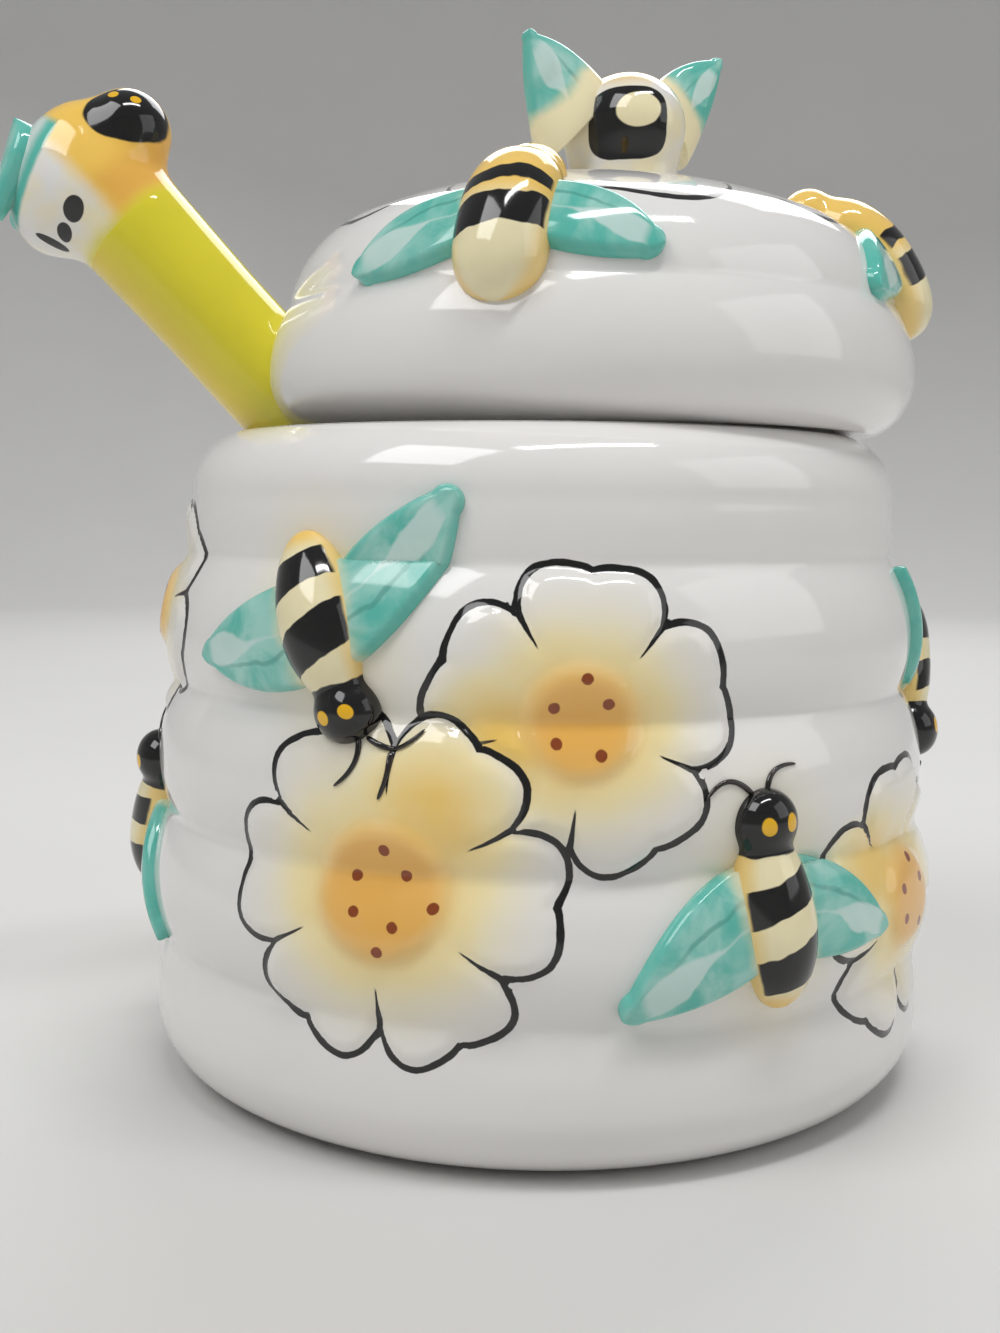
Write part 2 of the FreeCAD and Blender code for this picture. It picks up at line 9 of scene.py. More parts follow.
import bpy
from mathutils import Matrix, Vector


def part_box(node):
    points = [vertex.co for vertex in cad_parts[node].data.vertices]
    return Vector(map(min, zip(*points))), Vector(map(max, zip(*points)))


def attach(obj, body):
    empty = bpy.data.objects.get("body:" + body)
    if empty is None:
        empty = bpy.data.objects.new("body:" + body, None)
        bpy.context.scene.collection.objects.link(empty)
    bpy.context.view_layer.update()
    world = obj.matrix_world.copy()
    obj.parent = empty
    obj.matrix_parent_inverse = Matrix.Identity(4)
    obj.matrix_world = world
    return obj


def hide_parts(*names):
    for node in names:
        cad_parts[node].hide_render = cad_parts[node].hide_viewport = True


bl_info = {
    "name": "Bee Skep Honey Pot",
    "version": (1, 0, 0),
    "blender": (4, 5, 0),
    "location": "View3D > Sidebar > Honey Pot",
    "description": "Builds the glazed surfaces, sprigs and painting of a ceramic honey pot",
    "category": "Object",
}

import math

import bpy
import numpy as np
from mathutils import Matrix

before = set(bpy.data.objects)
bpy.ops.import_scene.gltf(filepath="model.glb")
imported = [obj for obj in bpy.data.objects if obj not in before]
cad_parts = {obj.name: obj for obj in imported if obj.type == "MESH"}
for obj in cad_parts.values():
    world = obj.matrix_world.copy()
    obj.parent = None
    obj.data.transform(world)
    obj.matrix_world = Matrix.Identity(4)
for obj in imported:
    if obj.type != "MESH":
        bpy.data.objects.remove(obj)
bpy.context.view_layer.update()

MM = 0.001
UP = np.array([0.0, 0.0, 1.0])
BACKWARD = np.array([0.0, 1.0, 0.0])

# Flowers on the pot: azimuth in degrees, height, petal radius and centre radius in millimetres,
# number of petals, angle of the first gap between petals and of the strongest spray, in degrees
# from level. The front's flowers and bees come again half a turn on, at the back.
OVER_FLOWERS = (
    (-18.5, 34.8, 21.0, 8.9, 6, 27.8, 58.0),
    (58.0, 29.5, 18.0, 7.4, 5, 60.0, 150.0),
    (161.5, 34.8, 21.0, 8.9, 6, 27.8, 58.0),
    (238.0, 29.5, 18.0, 7.4, 5, 60.0, 150.0),
    (-77.0, 65.0, 15.0, 6.4, 5, 10.0, 200.0),
    (108.0, 30.0, 15.0, 6.4, 5, 30.0, 80.0),
)
UNDER_FLOWERS = (
    (5.3, 54.7, 18.0, 7.4, 5, 48.8, 195.0),
    (185.3, 54.7, 18.0, 7.4, 5, 48.8, 195.0),
)
LID_FLOWER = (-38.5, 37.6, 5)   # azimuth of a gap in degrees, petal radius in mm, petals
# Bees on the pot: azimuth in degrees, height of the middle in millimetres, heading in degrees
# clockwise from up, then the tips of the left and the right wing, ahead of the middle and beside
# the axis in millimetres, and the number of the pair of feelers.
POT_BEES = (
    (-28.5, 63.5, 158.0, (-4.5, 20.5), (-10.8, -21.0), 0),
    (30.0, 33.5, -6.0, (-10.4, -20.2), (-8.2, 18.7), 1),
    (151.5, 63.5, 158.0, (-4.5, 20.5), (-10.8, -21.0), 0),
    (210.0, 33.5, -6.0, (-10.4, -20.2), (-8.2, 18.7), 1),
    (89.0, 56.0, 200.0, (-9.0, 19.0), (-9.0, -19.0), 1),
    (-84.0, 34.0, 20.0, (-9.0, -19.0), (-9.0, 19.0), 1),
)
# Feelers: start, bend and end ahead of the middle and beside the axis, in millimetres.
FEELERS = (
    (((13.2, -0.6), (16.8, -0.8), (17.8, 3.6)), ((13.6, -1.6), (17.6, -4.6), (15.0, -8.4)),
     ((16.1, -4.0), (18.6, -3.6), (20.9, -1.3))),
    (((12.8, -1.2), (17.2, -4.2), (13.4, -7.7)), ((13.0, 0.6), (16.4, 1.2), (15.5, 5.6))),
)
LID_BEE_AZIMUTHS = (-16.0, 82.0, 180.0)
# Wings of the lid's bees: root of the front edge, tip and root of the rear edge, each ahead of the
# middle and beside the axis.
LID_BEE_WINGS = (
    ("left", ((0.0030, -0.003), (-0.0088, -0.0205), (-0.0060, -0.003))),
    ("right", ((0.0035, 0.003), (-0.0068, 0.0190), (-0.0060, 0.003))),
)
LID_BEE_RISE = 0.0216   # circle on the dome that the lid's bees are set from, above the seat
LID_BEE_UP = 0.0046   # middle of a bee, up the dome from that circle
LID_BEE_FULLER = 0.0008   # by which the lid's bees are wider than the pot's
LID_BEE_BLUNT = 4.2   # power of their outline, where 2 is an ellipse

POT_ROWS = (14, 136, 42)   # of the grid under the pot, up its wall and down its inside
POT_COLUMNS = 512
LID_ROWS = (90, 110)   # of the grid inside the lid and up its outside
LID_COLUMNS = 320
FAR = 0.04   # stands for a place far from every flower
SLOPE_STEP = 0.01   # share of a petal over which the slope of its edge is taken
STEEPEST = 1.6   # slope of a petal's edge up to which the distance from it is corrected
SPRAY_MIDDLE = (0.85, 0.60)   # strength and reach of the spray at a flower's middle, in petal radii
SPRAY_SIDE = (0.80, 0.46)   # strength and reach of the spray off the middle
SPRAY_OFF = 0.48   # how far off the middle that is
PETAL_SOFT = 0.0018   # over which a petal rises from its edge
CENTRE_OUT = 0.0016   # how far outside its painted edge a centre starts to rise
CENTRE_SOFT = 0.0042   # over which it rises
COVER_SOFT = 0.0015   # over which a flower falls away beside one that lies on it
CREASE_HALF = 0.0008   # half width of the crease between petals
CREASE_START = 0.0030   # over which it deepens from the centre's edge outward
CREASE_DEPTH = 0.35   # share of the petal's height
HALO = (0.017, 0.011)   # half length and half width of the cream glow round a bee
HALO_EDGE = 1.35   # where the glow ends, in those half sizes

NOTCH_ENDS = (-0.024, 0.046)   # of the notch's cutter along the shaft, from the rim plane
NOTCH_DROP = 0.04   # depth of the slot under the notch's arch
RING_TURN = 1.35   # half of the arc over a ring of the dipper, in radians
RING_CROWN = 0.0012   # height of that arc
RING_HALF = 0.002   # half width of a ring
RING_STEP = 0.0001   # slope of a ring's sides
NECK_EASE = 0.016   # over which the neck widens to the shaft
TIP_GAP = 0.0004   # between the dipper's end and the pot's floor
END_PAST = 0.001   # end of the shaft inside the finial
SHAFT_STEP = 0.004   # longest step along the dipper's outline, up to 20 steps a line
KNOB_SINK = 0.0020   # of the knob's foot into the lid
KNOB_WAIST = 0.12   # share by which the foot draws in
KNOB_WING_FILL = 1.1   # added at the root of a wing, share of its half thickness
FINIAL_WING_FILL = 0.25
FINIAL_WING_ROUND = 0.4   # share of a wing's length over which its root is rounded
MARCH_STEPS = 70   # steps towards the finial's surface, each a share of the distance left
MARCH_SHARE = 0.85
CAP_FRONT = (0.22, -0.92, 0.33)   # way that the black cap of the finial's head faces

# Lamps: name, place, point that it faces, width, height and power in watts.
LAMPS = (
    ("lamp_key", (-0.42, -0.40, 0.78), (0, 0, 0.06), 0.45, 0.45, 3.0),
    ("lamp_panel", (0.14, -0.24, 0.92), (0, 0, 0.08), 0.50, 0.07, 2.6),
    ("lamp_fill", (0.75, -0.25, 0.45), (0, 0, 0.06), 0.6, 0.6, 1.1),
    ("lamp_back", (0.1, 0.75, 0.8), (0, 0.3, 0.0), 0.9, 0.5, 5.0),
)
SKY = (0.92, 0.94, 0.97, 1.0)
SKY_STRENGTH = 0.28
COVE_START = 1.0   # radius where the floor starts to rise
COVE_RADIUS = 0.5
BACKDROP_HEIGHT = 0.9


def linear(red, green, blue):
    """A screen colour of 0 to 255 as the linear colour that a shader takes."""
    value = np.array([red, green, blue]) / 255.0
    low = value / 12.92
    high = ((value + 0.055) / 1.055) ** 2.4
    return tuple(float(v) for v in np.where(value <= 0.04045, low, high))


def darker(tone, part):
    """A colour at a part of its strength."""
    return [value * part for value in tone]


def length(name, description, default):
    return bpy.props.FloatProperty(
        name=name, description=description, default=default, unit="LENGTH", precision=5)


def share(name, description, default):
    return bpy.props.FloatProperty(name=name, description=description, default=default)


def angle(name, description, degrees):
    return bpy.props.FloatProperty(
        name=name, description=description, default=math.radians(degrees), subtype="ANGLE")


def colour(name, description, default):
    return bpy.props.FloatVectorProperty(
        name=name, description=description, default=default, subtype="COLOR", min=0.0, max=1.0)


class PotForm(bpy.types.PropertyGroup):
    base_radius: length("Base radius", "Lowest rib at its widest", 0.0553)
    base_round: length("Base rounding", "Quarter round under the lowest rib", 0.0092)
    base_rib_fall: length("Base rib fall", "Draw-in of the lowest rib half way up", 0.0003)
    first_groove: length("First groove", "Height of the lowest groove", 0.0192)
    rib_pitch: length("Rib pitch", "Height from groove to groove", 0.0176)
    groove_radii: bpy.props.FloatVectorProperty(
        name="Groove radii", description="The four grooves from below", size=4, unit="LENGTH",
        default=(0.0540, 0.0533, 0.0516, 0.0495))
    rib_bulge: length("Rib bulge", "How far a rib stands out of its grooves' line", 0.00215)
    shoulder_radius: length("Shoulder radius", "Wall under the rim", 0.0498)
    shoulder_fall: length("Shoulder fall", "Draw-in where the rim's rounding starts", 0.0002)
    shoulder_round: length("Shoulder rounding", "Height of the rounding up to the rim", 0.0088)
    shoulder_bend_in: length("Rounding's middle", "How far it lies in from its start", 0.0015)
    shoulder_bend_up: length("Rounding's rise", "How far its middle lies up", 0.00563)
    rim_radius: length("Rim radius", "Crown of the rim", 0.0437)
    rim_round: length("Rim rounding", "Inner edge of the mouth", 0.0015)
    wall: length("Wall", "Thickness at the grooves", 0.0052)
    floor_thickness: length("Floor", "Height of the inner floor", 0.0060)
    floor_round: length("Floor rounding", "Between the floor and the wall", 0.0080)
    foot_inner_radius: length("Foot", "Inner radius of the foot ring", 0.0370)
    foot_recess: length("Foot recess", "Depth of the hollow under the foot", 0.0018)


class LidForm(bpy.types.PropertyGroup):
    shift: length("Shift", "How far the leaning shaft pushes the lid to the right", 0.0067)
    seat_radius: length("Seat radius", "Outer edge of the flat seat", 0.0402)
    rib_radius: length("Rib radius", "Widest circle", 0.0455)
    rib_rise: length("Rib rise", "Widest circle above the seat", 0.0076)
    edge_in: length("Edge in", "Middle of the lower rounding, in from the rib", 0.0015)
    edge_rise: length("Edge rise", "Middle of the lower rounding, above the seat", 0.0029)
    rib_fall: length("Rib fall", "Draw-in half way up to the groove", 0.0006)
    groove_radius: length("Groove radius", "Groove over the rib", 0.0427)
    groove_rise: length("Groove rise", "Groove above the seat", 0.0171)
    side_radius: length("Side radius", "Dome between the groove and the shoulder", 0.0404)
    side_rise: length("Side rise", "That circle above the seat", 0.0232)
    shoulder_radius: length("Shoulder radius", "Where the crown starts", 0.0348)
    shoulder_rise: length("Shoulder rise", "That circle above the seat", 0.0284)
    height: length("Height", "Crown above the seat", 0.0357)
    wall: length("Wall", "Thickness of the dome", 0.0044)
    flange_radius: length("Flange radius", "Ring that hangs in the mouth", 0.0351)
    flange_wall: length("Flange wall", "Thickness of that ring", 0.0040)
    flange_depth: length("Flange depth", "How far it hangs under the seat", 0.0070)
    notch_radius: length("Notch radius", "Arch for the shaft", 0.0085)


class DipperForm(bpy.types.PropertyGroup):
    tilt: angle("Tilt", "Lean of the shaft from upright", 43.0)
    shaft_radius: length("Shaft radius", "Where it passes the rim", 0.0081)
    end_radius: length("End radius", "Under the finial", 0.0086)
    neck_radius: length("Neck radius", "Between the shaft and the ringed end", 0.0052)
    head_radius: length("Head radius", "Widest ring", 0.0079)
    head_end_radius: length("Head end radius", "First and last rings", 0.0066)
    groove_radius: length("Groove radius", "Between the rings", 0.0044)
    rings: bpy.props.IntProperty(name="Rings", description="On the ringed end", default=6, min=2)
    head_length: length("Head length", "Ringed end", 0.0360)
    neck_length: length("Neck length", "Between the rings and the shaft", 0.0140)
    reach: length("Reach", "Rim plane to the finial, along the shaft", 0.0430)


class BeeForm(bpy.types.PropertyGroup):
    radius: length("Radius", "Half width of the body", 0.0051)
    half_length: length("Half length", "Of the body without the head", 0.0114)
    body_behind: length("Body behind", "Middle of the body behind the bee's place", 0.0022)
    head_radius: length("Head radius", "Half width of the head", 0.0041)
    head_ahead: length("Head ahead", "Middle of the head ahead of the bee's place", 0.0096)
    fore_root: length("Fore root", "Start of a wing's front edge, ahead of the middle", 0.0050)
    aft_root: length("Aft root", "Start of a wing's rear edge, behind the middle", 0.0080)
    root_side: length("Root side", "Both starts, beside the axis", 0.0030)
    tip_radius: length("Tip radius", "Round tip of a wing", 0.0022)
    wing_rise: length("Wing rise", "Thickness of a wing on the wall", 0.0016)
    fore_swell: share("Fore swell", "Bulge of the front edge, share of its length", 0.11)
    aft_swell: share("Aft swell", "Bulge of the rear edge, share of its length", 0.05)
    free_wing: length("Free wing", "Thickness of the knob's and the finial's wings", 0.0042)
    feeler_radius: length("Feeler radius", "Half width of a feeler", 0.00034)
    eye_radius: length("Eye radius", "Painted eyes", 0.0008)


class KnobForm(bpy.types.PropertyGroup):
    shift: length("Shift", "Middle off the lid's axis, to the right", 0.0045)
    rise: length("Rise", "Middle above the lid's crown", 0.0070)
    half_length: length("Half length", "Along the bee", 0.0105)
    radius: length("Radius", "Across the bee", 0.0080)
    turn: angle("Turn", "Tail to the right of straight ahead", 26.0)
    wing_root: length("Wing root", "Inner start of a wing, beside the middle", 0.0030)
    wing_root_rise: length("Wing root rise", "And above it", 0.0050)
    wing_tip: length("Wing tip", "Beside the middle", 0.0155)
    wing_tip_rise: length("Wing tip rise", "And above it", 0.0120)
    left_foot: length("Left foot", "Outer start of the left wing, beside the middle", 0.0128)
    left_foot_drop: length("Left foot drop", "And under it", 0.0055)
    right_foot: length("Right foot", "Outer start of the right wing, beside the middle", 0.0095)
    right_foot_drop: length("Right foot drop", "And under it", 0.0040)
    tip_radius: length("Tip radius", "Round tip of a wing", 0.0011)


class FinialForm(bpy.types.PropertyGroup):
    half_length: length("Half length", "Along the bee", 0.0114)
    radius: length("Radius", "Across the bee", 0.0083)
    turn: angle("Turn", "Off square to the shaft, head outward", 21.0)
    ahead: length("Ahead", "Middle past the end of the shaft", 0.0085)
    drop: length("Drop", "Middle under the shaft's axis", 0.0018)
    head_radius: length("Head radius", "Round head", 0.0062)
    head_ahead: length("Head ahead", "Head past the end of the shaft", 0.0076)
    head_up: length("Head up", "Head over the shaft's axis", 0.0084)
    wing_lean: angle("Wing lean", "Of a wing to its side", 22.0)
    wing_root: length("Wing root", "Ahead of the middle", 0.0040)
    wing_tip: length("Wing tip", "Behind the middle", 0.0100)
    root_sink: length("Root sink", "Root under the back's surface", 0.0009)
    tip_sink: length("Tip sink", "Tip under the back's surface", 0.0026)
    root_side: length("Root side", "Root beside the axis", 0.0022)
    tip_side: length("Tip side", "Tip beside the axis", 0.0050)
    wing_width: length("Wing width", "At the root", 0.0085)
    neck_down: length("Neck down", "Start of the neck under the shaft's end", 0.0080)
    neck_up: length("Neck up", "End of the neck past the shaft's end", 0.0030)
    neck_low_radius: length("Neck low radius", "Inside the shaft", 0.0081)
    neck_top_radius: length("Neck top radius", "Under the head", 0.0090)
    neck_blend: length("Neck blend", "Over which the neck flows into the bee", 0.0030)
    head_blend: length("Head blend", "Over which the head flows into the body", 0.0022)


class FlowerForm(bpy.types.PropertyGroup):
    petal_rise: length("Petal rise", "Height of the petals over the wall", 0.0008)
    centre_rise: length("Centre rise", "Height of the centre over the wall", 0.0016)
    petal_notch: share("Petal notch", "Gap between petals, share of the radius", 0.76)
    lobe_notch: share("Lobe notch", "Dent in a petal, share of the radius", 0.93)
    line_width: length("Line width", "Half width of the painted outline", 0.00036)


class Glazes(bpy.types.PropertyGroup):
    white: colour("White", "Pot and lid", linear(236, 234, 231))
    cream: colour("Cream", "Bees' bodies", linear(243, 232, 190))
    amber: colour("Amber", "Sprayed petals and edges", linear(246, 201, 92))
    honey: colour("Honey", "Thin spray on the petals", linear(250, 233, 168))
    orange: colour("Orange", "Middle of a flower", linear(235, 171, 78))
    teal: colour("Teal", "Wings", linear(92, 188, 173))
    pale_teal: colour("Pale teal", "Thin paint on the wings", linear(178, 222, 212))
    streak: colour("Streak", "Pale middle of a wing", linear(206, 228, 222))
    black: colour("Black", "Stripes, heads and outlines", linear(18, 17, 17))
    thin_black: colour("Thin black", "Feelers where the paint thins", linear(44, 38, 34))
    eye: colour("Eye", "Eyes", linear(238, 184, 30))
    seed: colour("Seed", "Dots in a flower", linear(140, 66, 26))
    yellow: colour("Yellow", "Dipper's shaft", linear(228, 216, 52))


class Stage(bpy.types.PropertyGroup):
    floor: colour("Floor", "Floor and backdrop", linear(216, 215, 213))
    camera_distance: length("Camera distance", "In front of the pot's axis", 0.216)
    camera_height: length("Camera height", "Above the table", 0.078)
    camera_pitch: angle("Camera pitch", "Downward", 6.0)
    camera_yaw: angle("Camera yaw", "To the left", 1.5)
    camera_roll: angle("Camera roll", "Turn of the camera on its axis", 0.55)
    focal_length: share("Focal length", "On 36 mm along the long side", 39.7)


class HoneyPot(bpy.types.PropertyGroup):
    pot: bpy.props.PointerProperty(type=PotForm)
    lid: bpy.props.PointerProperty(type=LidForm)
    dipper: bpy.props.PointerProperty(type=DipperForm)
    bee: bpy.props.PointerProperty(type=BeeForm)
    knob: bpy.props.PointerProperty(type=KnobForm)
    finial: bpy.props.PointerProperty(type=FinialForm)
    flower: bpy.props.PointerProperty(type=FlowerForm)
    glaze: bpy.props.PointerProperty(type=Glazes)
    stage: bpy.props.PointerProperty(type=Stage)


def arc_points(a, middle, b, count):
    """Points on the circle through three points of an outline, evenly spaced from a to b."""
    a, m, b = np.array(a), np.array(middle), np.array(b)
    d = 2 * (a[0] * (m[1] - b[1]) + m[0] * (b[1] - a[1]) + b[0] * (a[1] - m[1]))
    qa, qm, qb = a @ a, m @ m, b @ b
    centre = np.array([
        qa * (m[1] - b[1]) + qm * (b[1] - a[1]) + qb * (a[1] - m[1]),
        qa * (b[0] - m[0]) + qm * (a[0] - b[0]) + qb * (m[0] - a[0]),
    ]) / d
    turns = np.unwrap([math.atan2(*(p - centre)[::-1]) for p in (a, m, b)])
    t = np.linspace(turns[0], turns[2], count)
    return centre + np.hypot(*(a - centre)) * np.stack([np.cos(t), np.sin(t)], -1)


def resampled(points, count):
    """A line of points laid out again with equal steps along its length."""
    points = np.asarray(points, float)
    run = np.concatenate([[0.0], np.cumsum(np.linalg.norm(np.diff(points, axis=0), axis=1))])
    t = np.linspace(0.0, run[-1], count)
    return np.stack([np.interp(t, run, points[:, k]) for k in range(points.shape[1])], -1)


def smooth(x):
    """Soft step: 0 below 0, 1 above 1, and 3x^2 - 2x^3 between."""
    x = np.clip(x, 0.0, 1.0)
    return x * x * (3.0 - 2.0 * x)


def turns(count):
    """A row of angles, in even steps round a full turn."""
    return np.linspace(0.0, 2 * np.pi, count, endpoint=False)[None, :]


def unit(way):
    """A direction at length 1."""
    return way / np.linalg.norm(way)


def around(r, azimuth, z, centre_x=0.0):
    """Points at radii, azimuths and heights about an upright axis."""
    return np.stack([centre_x + r * np.sin(azimuth), -r * np.cos(azimuth), z + 0 * r], -1)


class Skin:
    """A turned surface: radius and height along an outline that runs up, about an upright axis."""

    def __init__(self, outline, centre_x=0.0):
        self.r, self.z = np.asarray(outline, float).T
        steps = np.hypot(np.diff(self.r), np.diff(self.z))
        self.s = np.concatenate([[0.0], np.cumsum(steps)])
        slope_r = np.gradient(self.r, self.s)
        slope_z = np.gradient(self.z, self.s)
        size = np.hypot(slope_r, slope_z)
        self.out_r = slope_z / size
        self.out_z = -slope_r / size
        self.centre_x = centre_x

    def evened(self, reach):
        """The same surface with its ribs and grooves evened out over a reach along the outline."""
        near = self.s + np.linspace(-reach, reach, 25)[:, None]
        outline = np.stack([np.interp(near, self.s, self.r).mean(0),
                            np.interp(near, self.s, self.z).mean(0)], -1)
        even = Skin(outline, self.centre_x)
        even.s = self.s
        return even

    def run_at(self, height):
        """Length along the outline where it reaches a height."""
        return float(np.interp(height, self.z, self.s))

    def point(self, azimuth, run, lift):
        """Points at azimuths and runs, lifted along the surface's normal."""
        r = np.interp(run, self.s, self.r) + np.interp(run, self.s, self.out_r) * lift
        z = np.interp(run, self.s, self.z) + np.interp(run, self.s, self.out_z) * lift
        return around(r, azimuth, z, self.centre_x)

    def laid(self, place, forward, side, lift):
        """Points of a flat shape laid on the surface from a place (azimuth, run, heading)."""
        return self.point(*self.under(place, forward, side), lift)

    def under(self, place, forward, side):
        """Azimuths and runs that lie under the points of a flat shape laid from a place."""
        azimuth, run, heading = place
        along = run + forward * math.cos(heading) - side * math.sin(heading)
        across = forward * math.sin(heading) + side * math.cos(heading)
        return azimuth + across / np.interp(along, self.s, self.r), along

    def flat(self, place, azimuth, run):
        """Forward and side of surface points as a shape laid from a place sees them."""
        start, middle, heading = place
        turn = (azimuth - start + math.pi) % (2 * math.pi) - math.pi
        across = turn * np.interp(run, self.s, self.r)
        up = run - middle
        forward = across * math.sin(heading) + up * math.cos(heading)
        return forward, across * math.cos(heading) - up * math.sin(heading)


def add_surface(name, points, body, material, fields=None, replaces=()):
    """A mesh piece from a grid of points, joined round its columns, with its end rows as poles.

    If the grid's faces look towards its middle, its columns are taken the other way round.
    """
    fields = fields or {}
    first = points[1:, 1:] - points[:-1, :-1]
    second = points[1:, :-1] - points[:-1, 1:]
    away = points[:-1, :-1] - points.mean((0, 1))
    if (np.cross(first, second) * away).sum() < 0:
        points = points[:, ::-1]
        fields = {key: values[:, ::-1] for key, values in fields.items()}
    rows, cols = points.shape[:2]
    index = np.arange(rows * cols).reshape(rows, cols)
    keep = np.ones((rows, cols), bool)
    for row in (0, rows - 1):
        index[row] = index[row, 0]
        keep[row, 1:] = False
    number = np.cumsum(keep.ravel()) - 1
    left = number[index]
    right = np.roll(left, -1, 1)
    quads = np.stack([left[:-1], right[:-1], right[1:], left[1:]], -1)
    body_quads = quads[1:-1].reshape(-1, 4)
    triangles = np.concatenate([quads[0][:, [0, 2, 3]], quads[-1][:, [0, 1, 2]]])
    loops = np.concatenate([body_quads.ravel(), triangles.ravel()])
    totals = np.concatenate([np.full(len(body_quads), 4), np.full(len(triangles), 3)])
    starts = np.concatenate([[0], np.cumsum(totals)[:-1]])
    mesh = bpy.data.meshes.new(name)
    mesh.vertices.add(int(keep.sum()))
    mesh.vertices.foreach_set("co", points[keep].astype(np.float32).ravel())
    mesh.loops.add(len(loops))
    mesh.loops.foreach_set("vertex_index", loops.astype(np.int32))
    mesh.polygons.add(len(totals))
    mesh.polygons.foreach_set("loop_start", starts.astype(np.int32))
    mesh.polygons.foreach_set("loop_total", totals.astype(np.int32))
    mesh.polygons.foreach_set("use_smooth", np.ones(len(totals), bool))
    mesh.update(calc_edges=True)
    for field, values in fields.items():
        vector = values.ndim == 3
        layer = mesh.attributes.new(field, "FLOAT_VECTOR" if vector else "FLOAT", "POINT")
        layer.data.foreach_set("vector" if vector else "value",
                               values[keep].astype(np.float32).ravel())
    mesh.materials.append(material)
    piece = bpy.data.objects.new(name, mesh)
    bpy.context.scene.collection.objects.link(piece)
    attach(piece, body)
    if replaces:
        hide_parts(*replaces)
    return piece


def pot_wall(form):
    """Outline of the ribbed wall from the foot's edge up to the rim's crown."""
    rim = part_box("pot_shell")[1].z
    foot = form.base_radius - form.base_round
    turn = form.base_round * math.sqrt(0.5)
    side = (form.base_radius, form.base_round)
    low = (form.groove_radii[0], form.first_groove)
    arcs = [
        ((foot, 0.0), (foot + turn, form.base_round - turn), side),
        (side, (side[0] - form.base_rib_fall, (side[1] + low[1]) / 2), low),
    ]
    for k in range(1, 4):
        high = (form.groove_radii[k], form.first_groove + k * form.rib_pitch)
        crest = ((low[0] + high[0]) / 2 + form.rib_bulge, (low[1] + high[1]) / 2)
        arcs.append((low, crest, high))
        low = high
    neck = (form.shoulder_radius - form.shoulder_fall, rim - form.shoulder_round)
    bend = (neck[0] - form.shoulder_bend_in, neck[1] + form.shoulder_bend_up)
    arcs.append((low, (form.shoulder_radius, (low[1] + neck[1]) / 2), neck))
    arcs.append((neck, bend, (form.rim_radius, rim)))
    return np.concatenate(
        [arc_points(*three, 60)[:-1] for three in arcs] + [[(form.rim_radius, rim)]])


def pot_inside(form):
    """Outline from the rim's crown down the smooth inside to the middle of the floor."""
    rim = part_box("pot_shell")[1].z
    inner = np.array(form.groove_radii) - form.wall
    mouth = form.rim_radius - form.rim_round
    lip = (mouth, rim - form.rim_round)
    bend = form.rim_round * math.sqrt(0.5)
    heel = (inner[0], form.floor_thickness + form.floor_round)
    belly = (inner[0] + 0.3 * form.wall, form.first_groove + form.rib_pitch / 2)
    knots = np.array([lip, (inner[3], form.first_groove + 3 * form.rib_pitch), belly, heel])
    curve = np.polyfit(knots[:, 1], knots[:, 0], 3)
    z = np.linspace(lip[1], heel[1], 40)
    toe = heel[0] - form.floor_round
    corner = form.floor_round * math.sqrt(0.5)
    return np.concatenate([
        arc_points((form.rim_radius, rim), (form.rim_radius - bend, lip[1] + bend), lip, 12),
        np.stack([np.polyval(curve, z), z], -1)[1:],
        arc_points(heel, (toe + corner, heel[1] - corner), (toe, form.floor_thickness), 12)[1:],
        [(toe / 2, form.floor_thickness), (0.0, form.floor_thickness)],
    ])


def pot_under(form):
    """Outline from the middle of the recess under the pot out to the foot's edge."""
    foot = form.foot_inner_radius
    return np.array([
        (0.0, form.foot_recess), (foot * 0.5, form.foot_recess), (foot, form.foot_recess),
        (foot + form.foot_recess * 0.3, 0.0), (form.base_radius - form.base_round, 0.0),
    ])


def petal_edge(form, x):
    """Petal outline as a share of the flower's radius, where x runs from 0 to 1 over a petal.

    It is b + (1 - b) |sin(2 pi x)|^0.7, where b rises from the petal notch to the lobe notch and
    back as sin^2(pi x).
    """
    base = form.petal_notch + (form.lobe_notch - form.petal_notch) * np.sin(np.pi * x) ** 2
    return base + (1.0 - base) * np.abs(np.sin(2 * np.pi * x)) ** 0.7


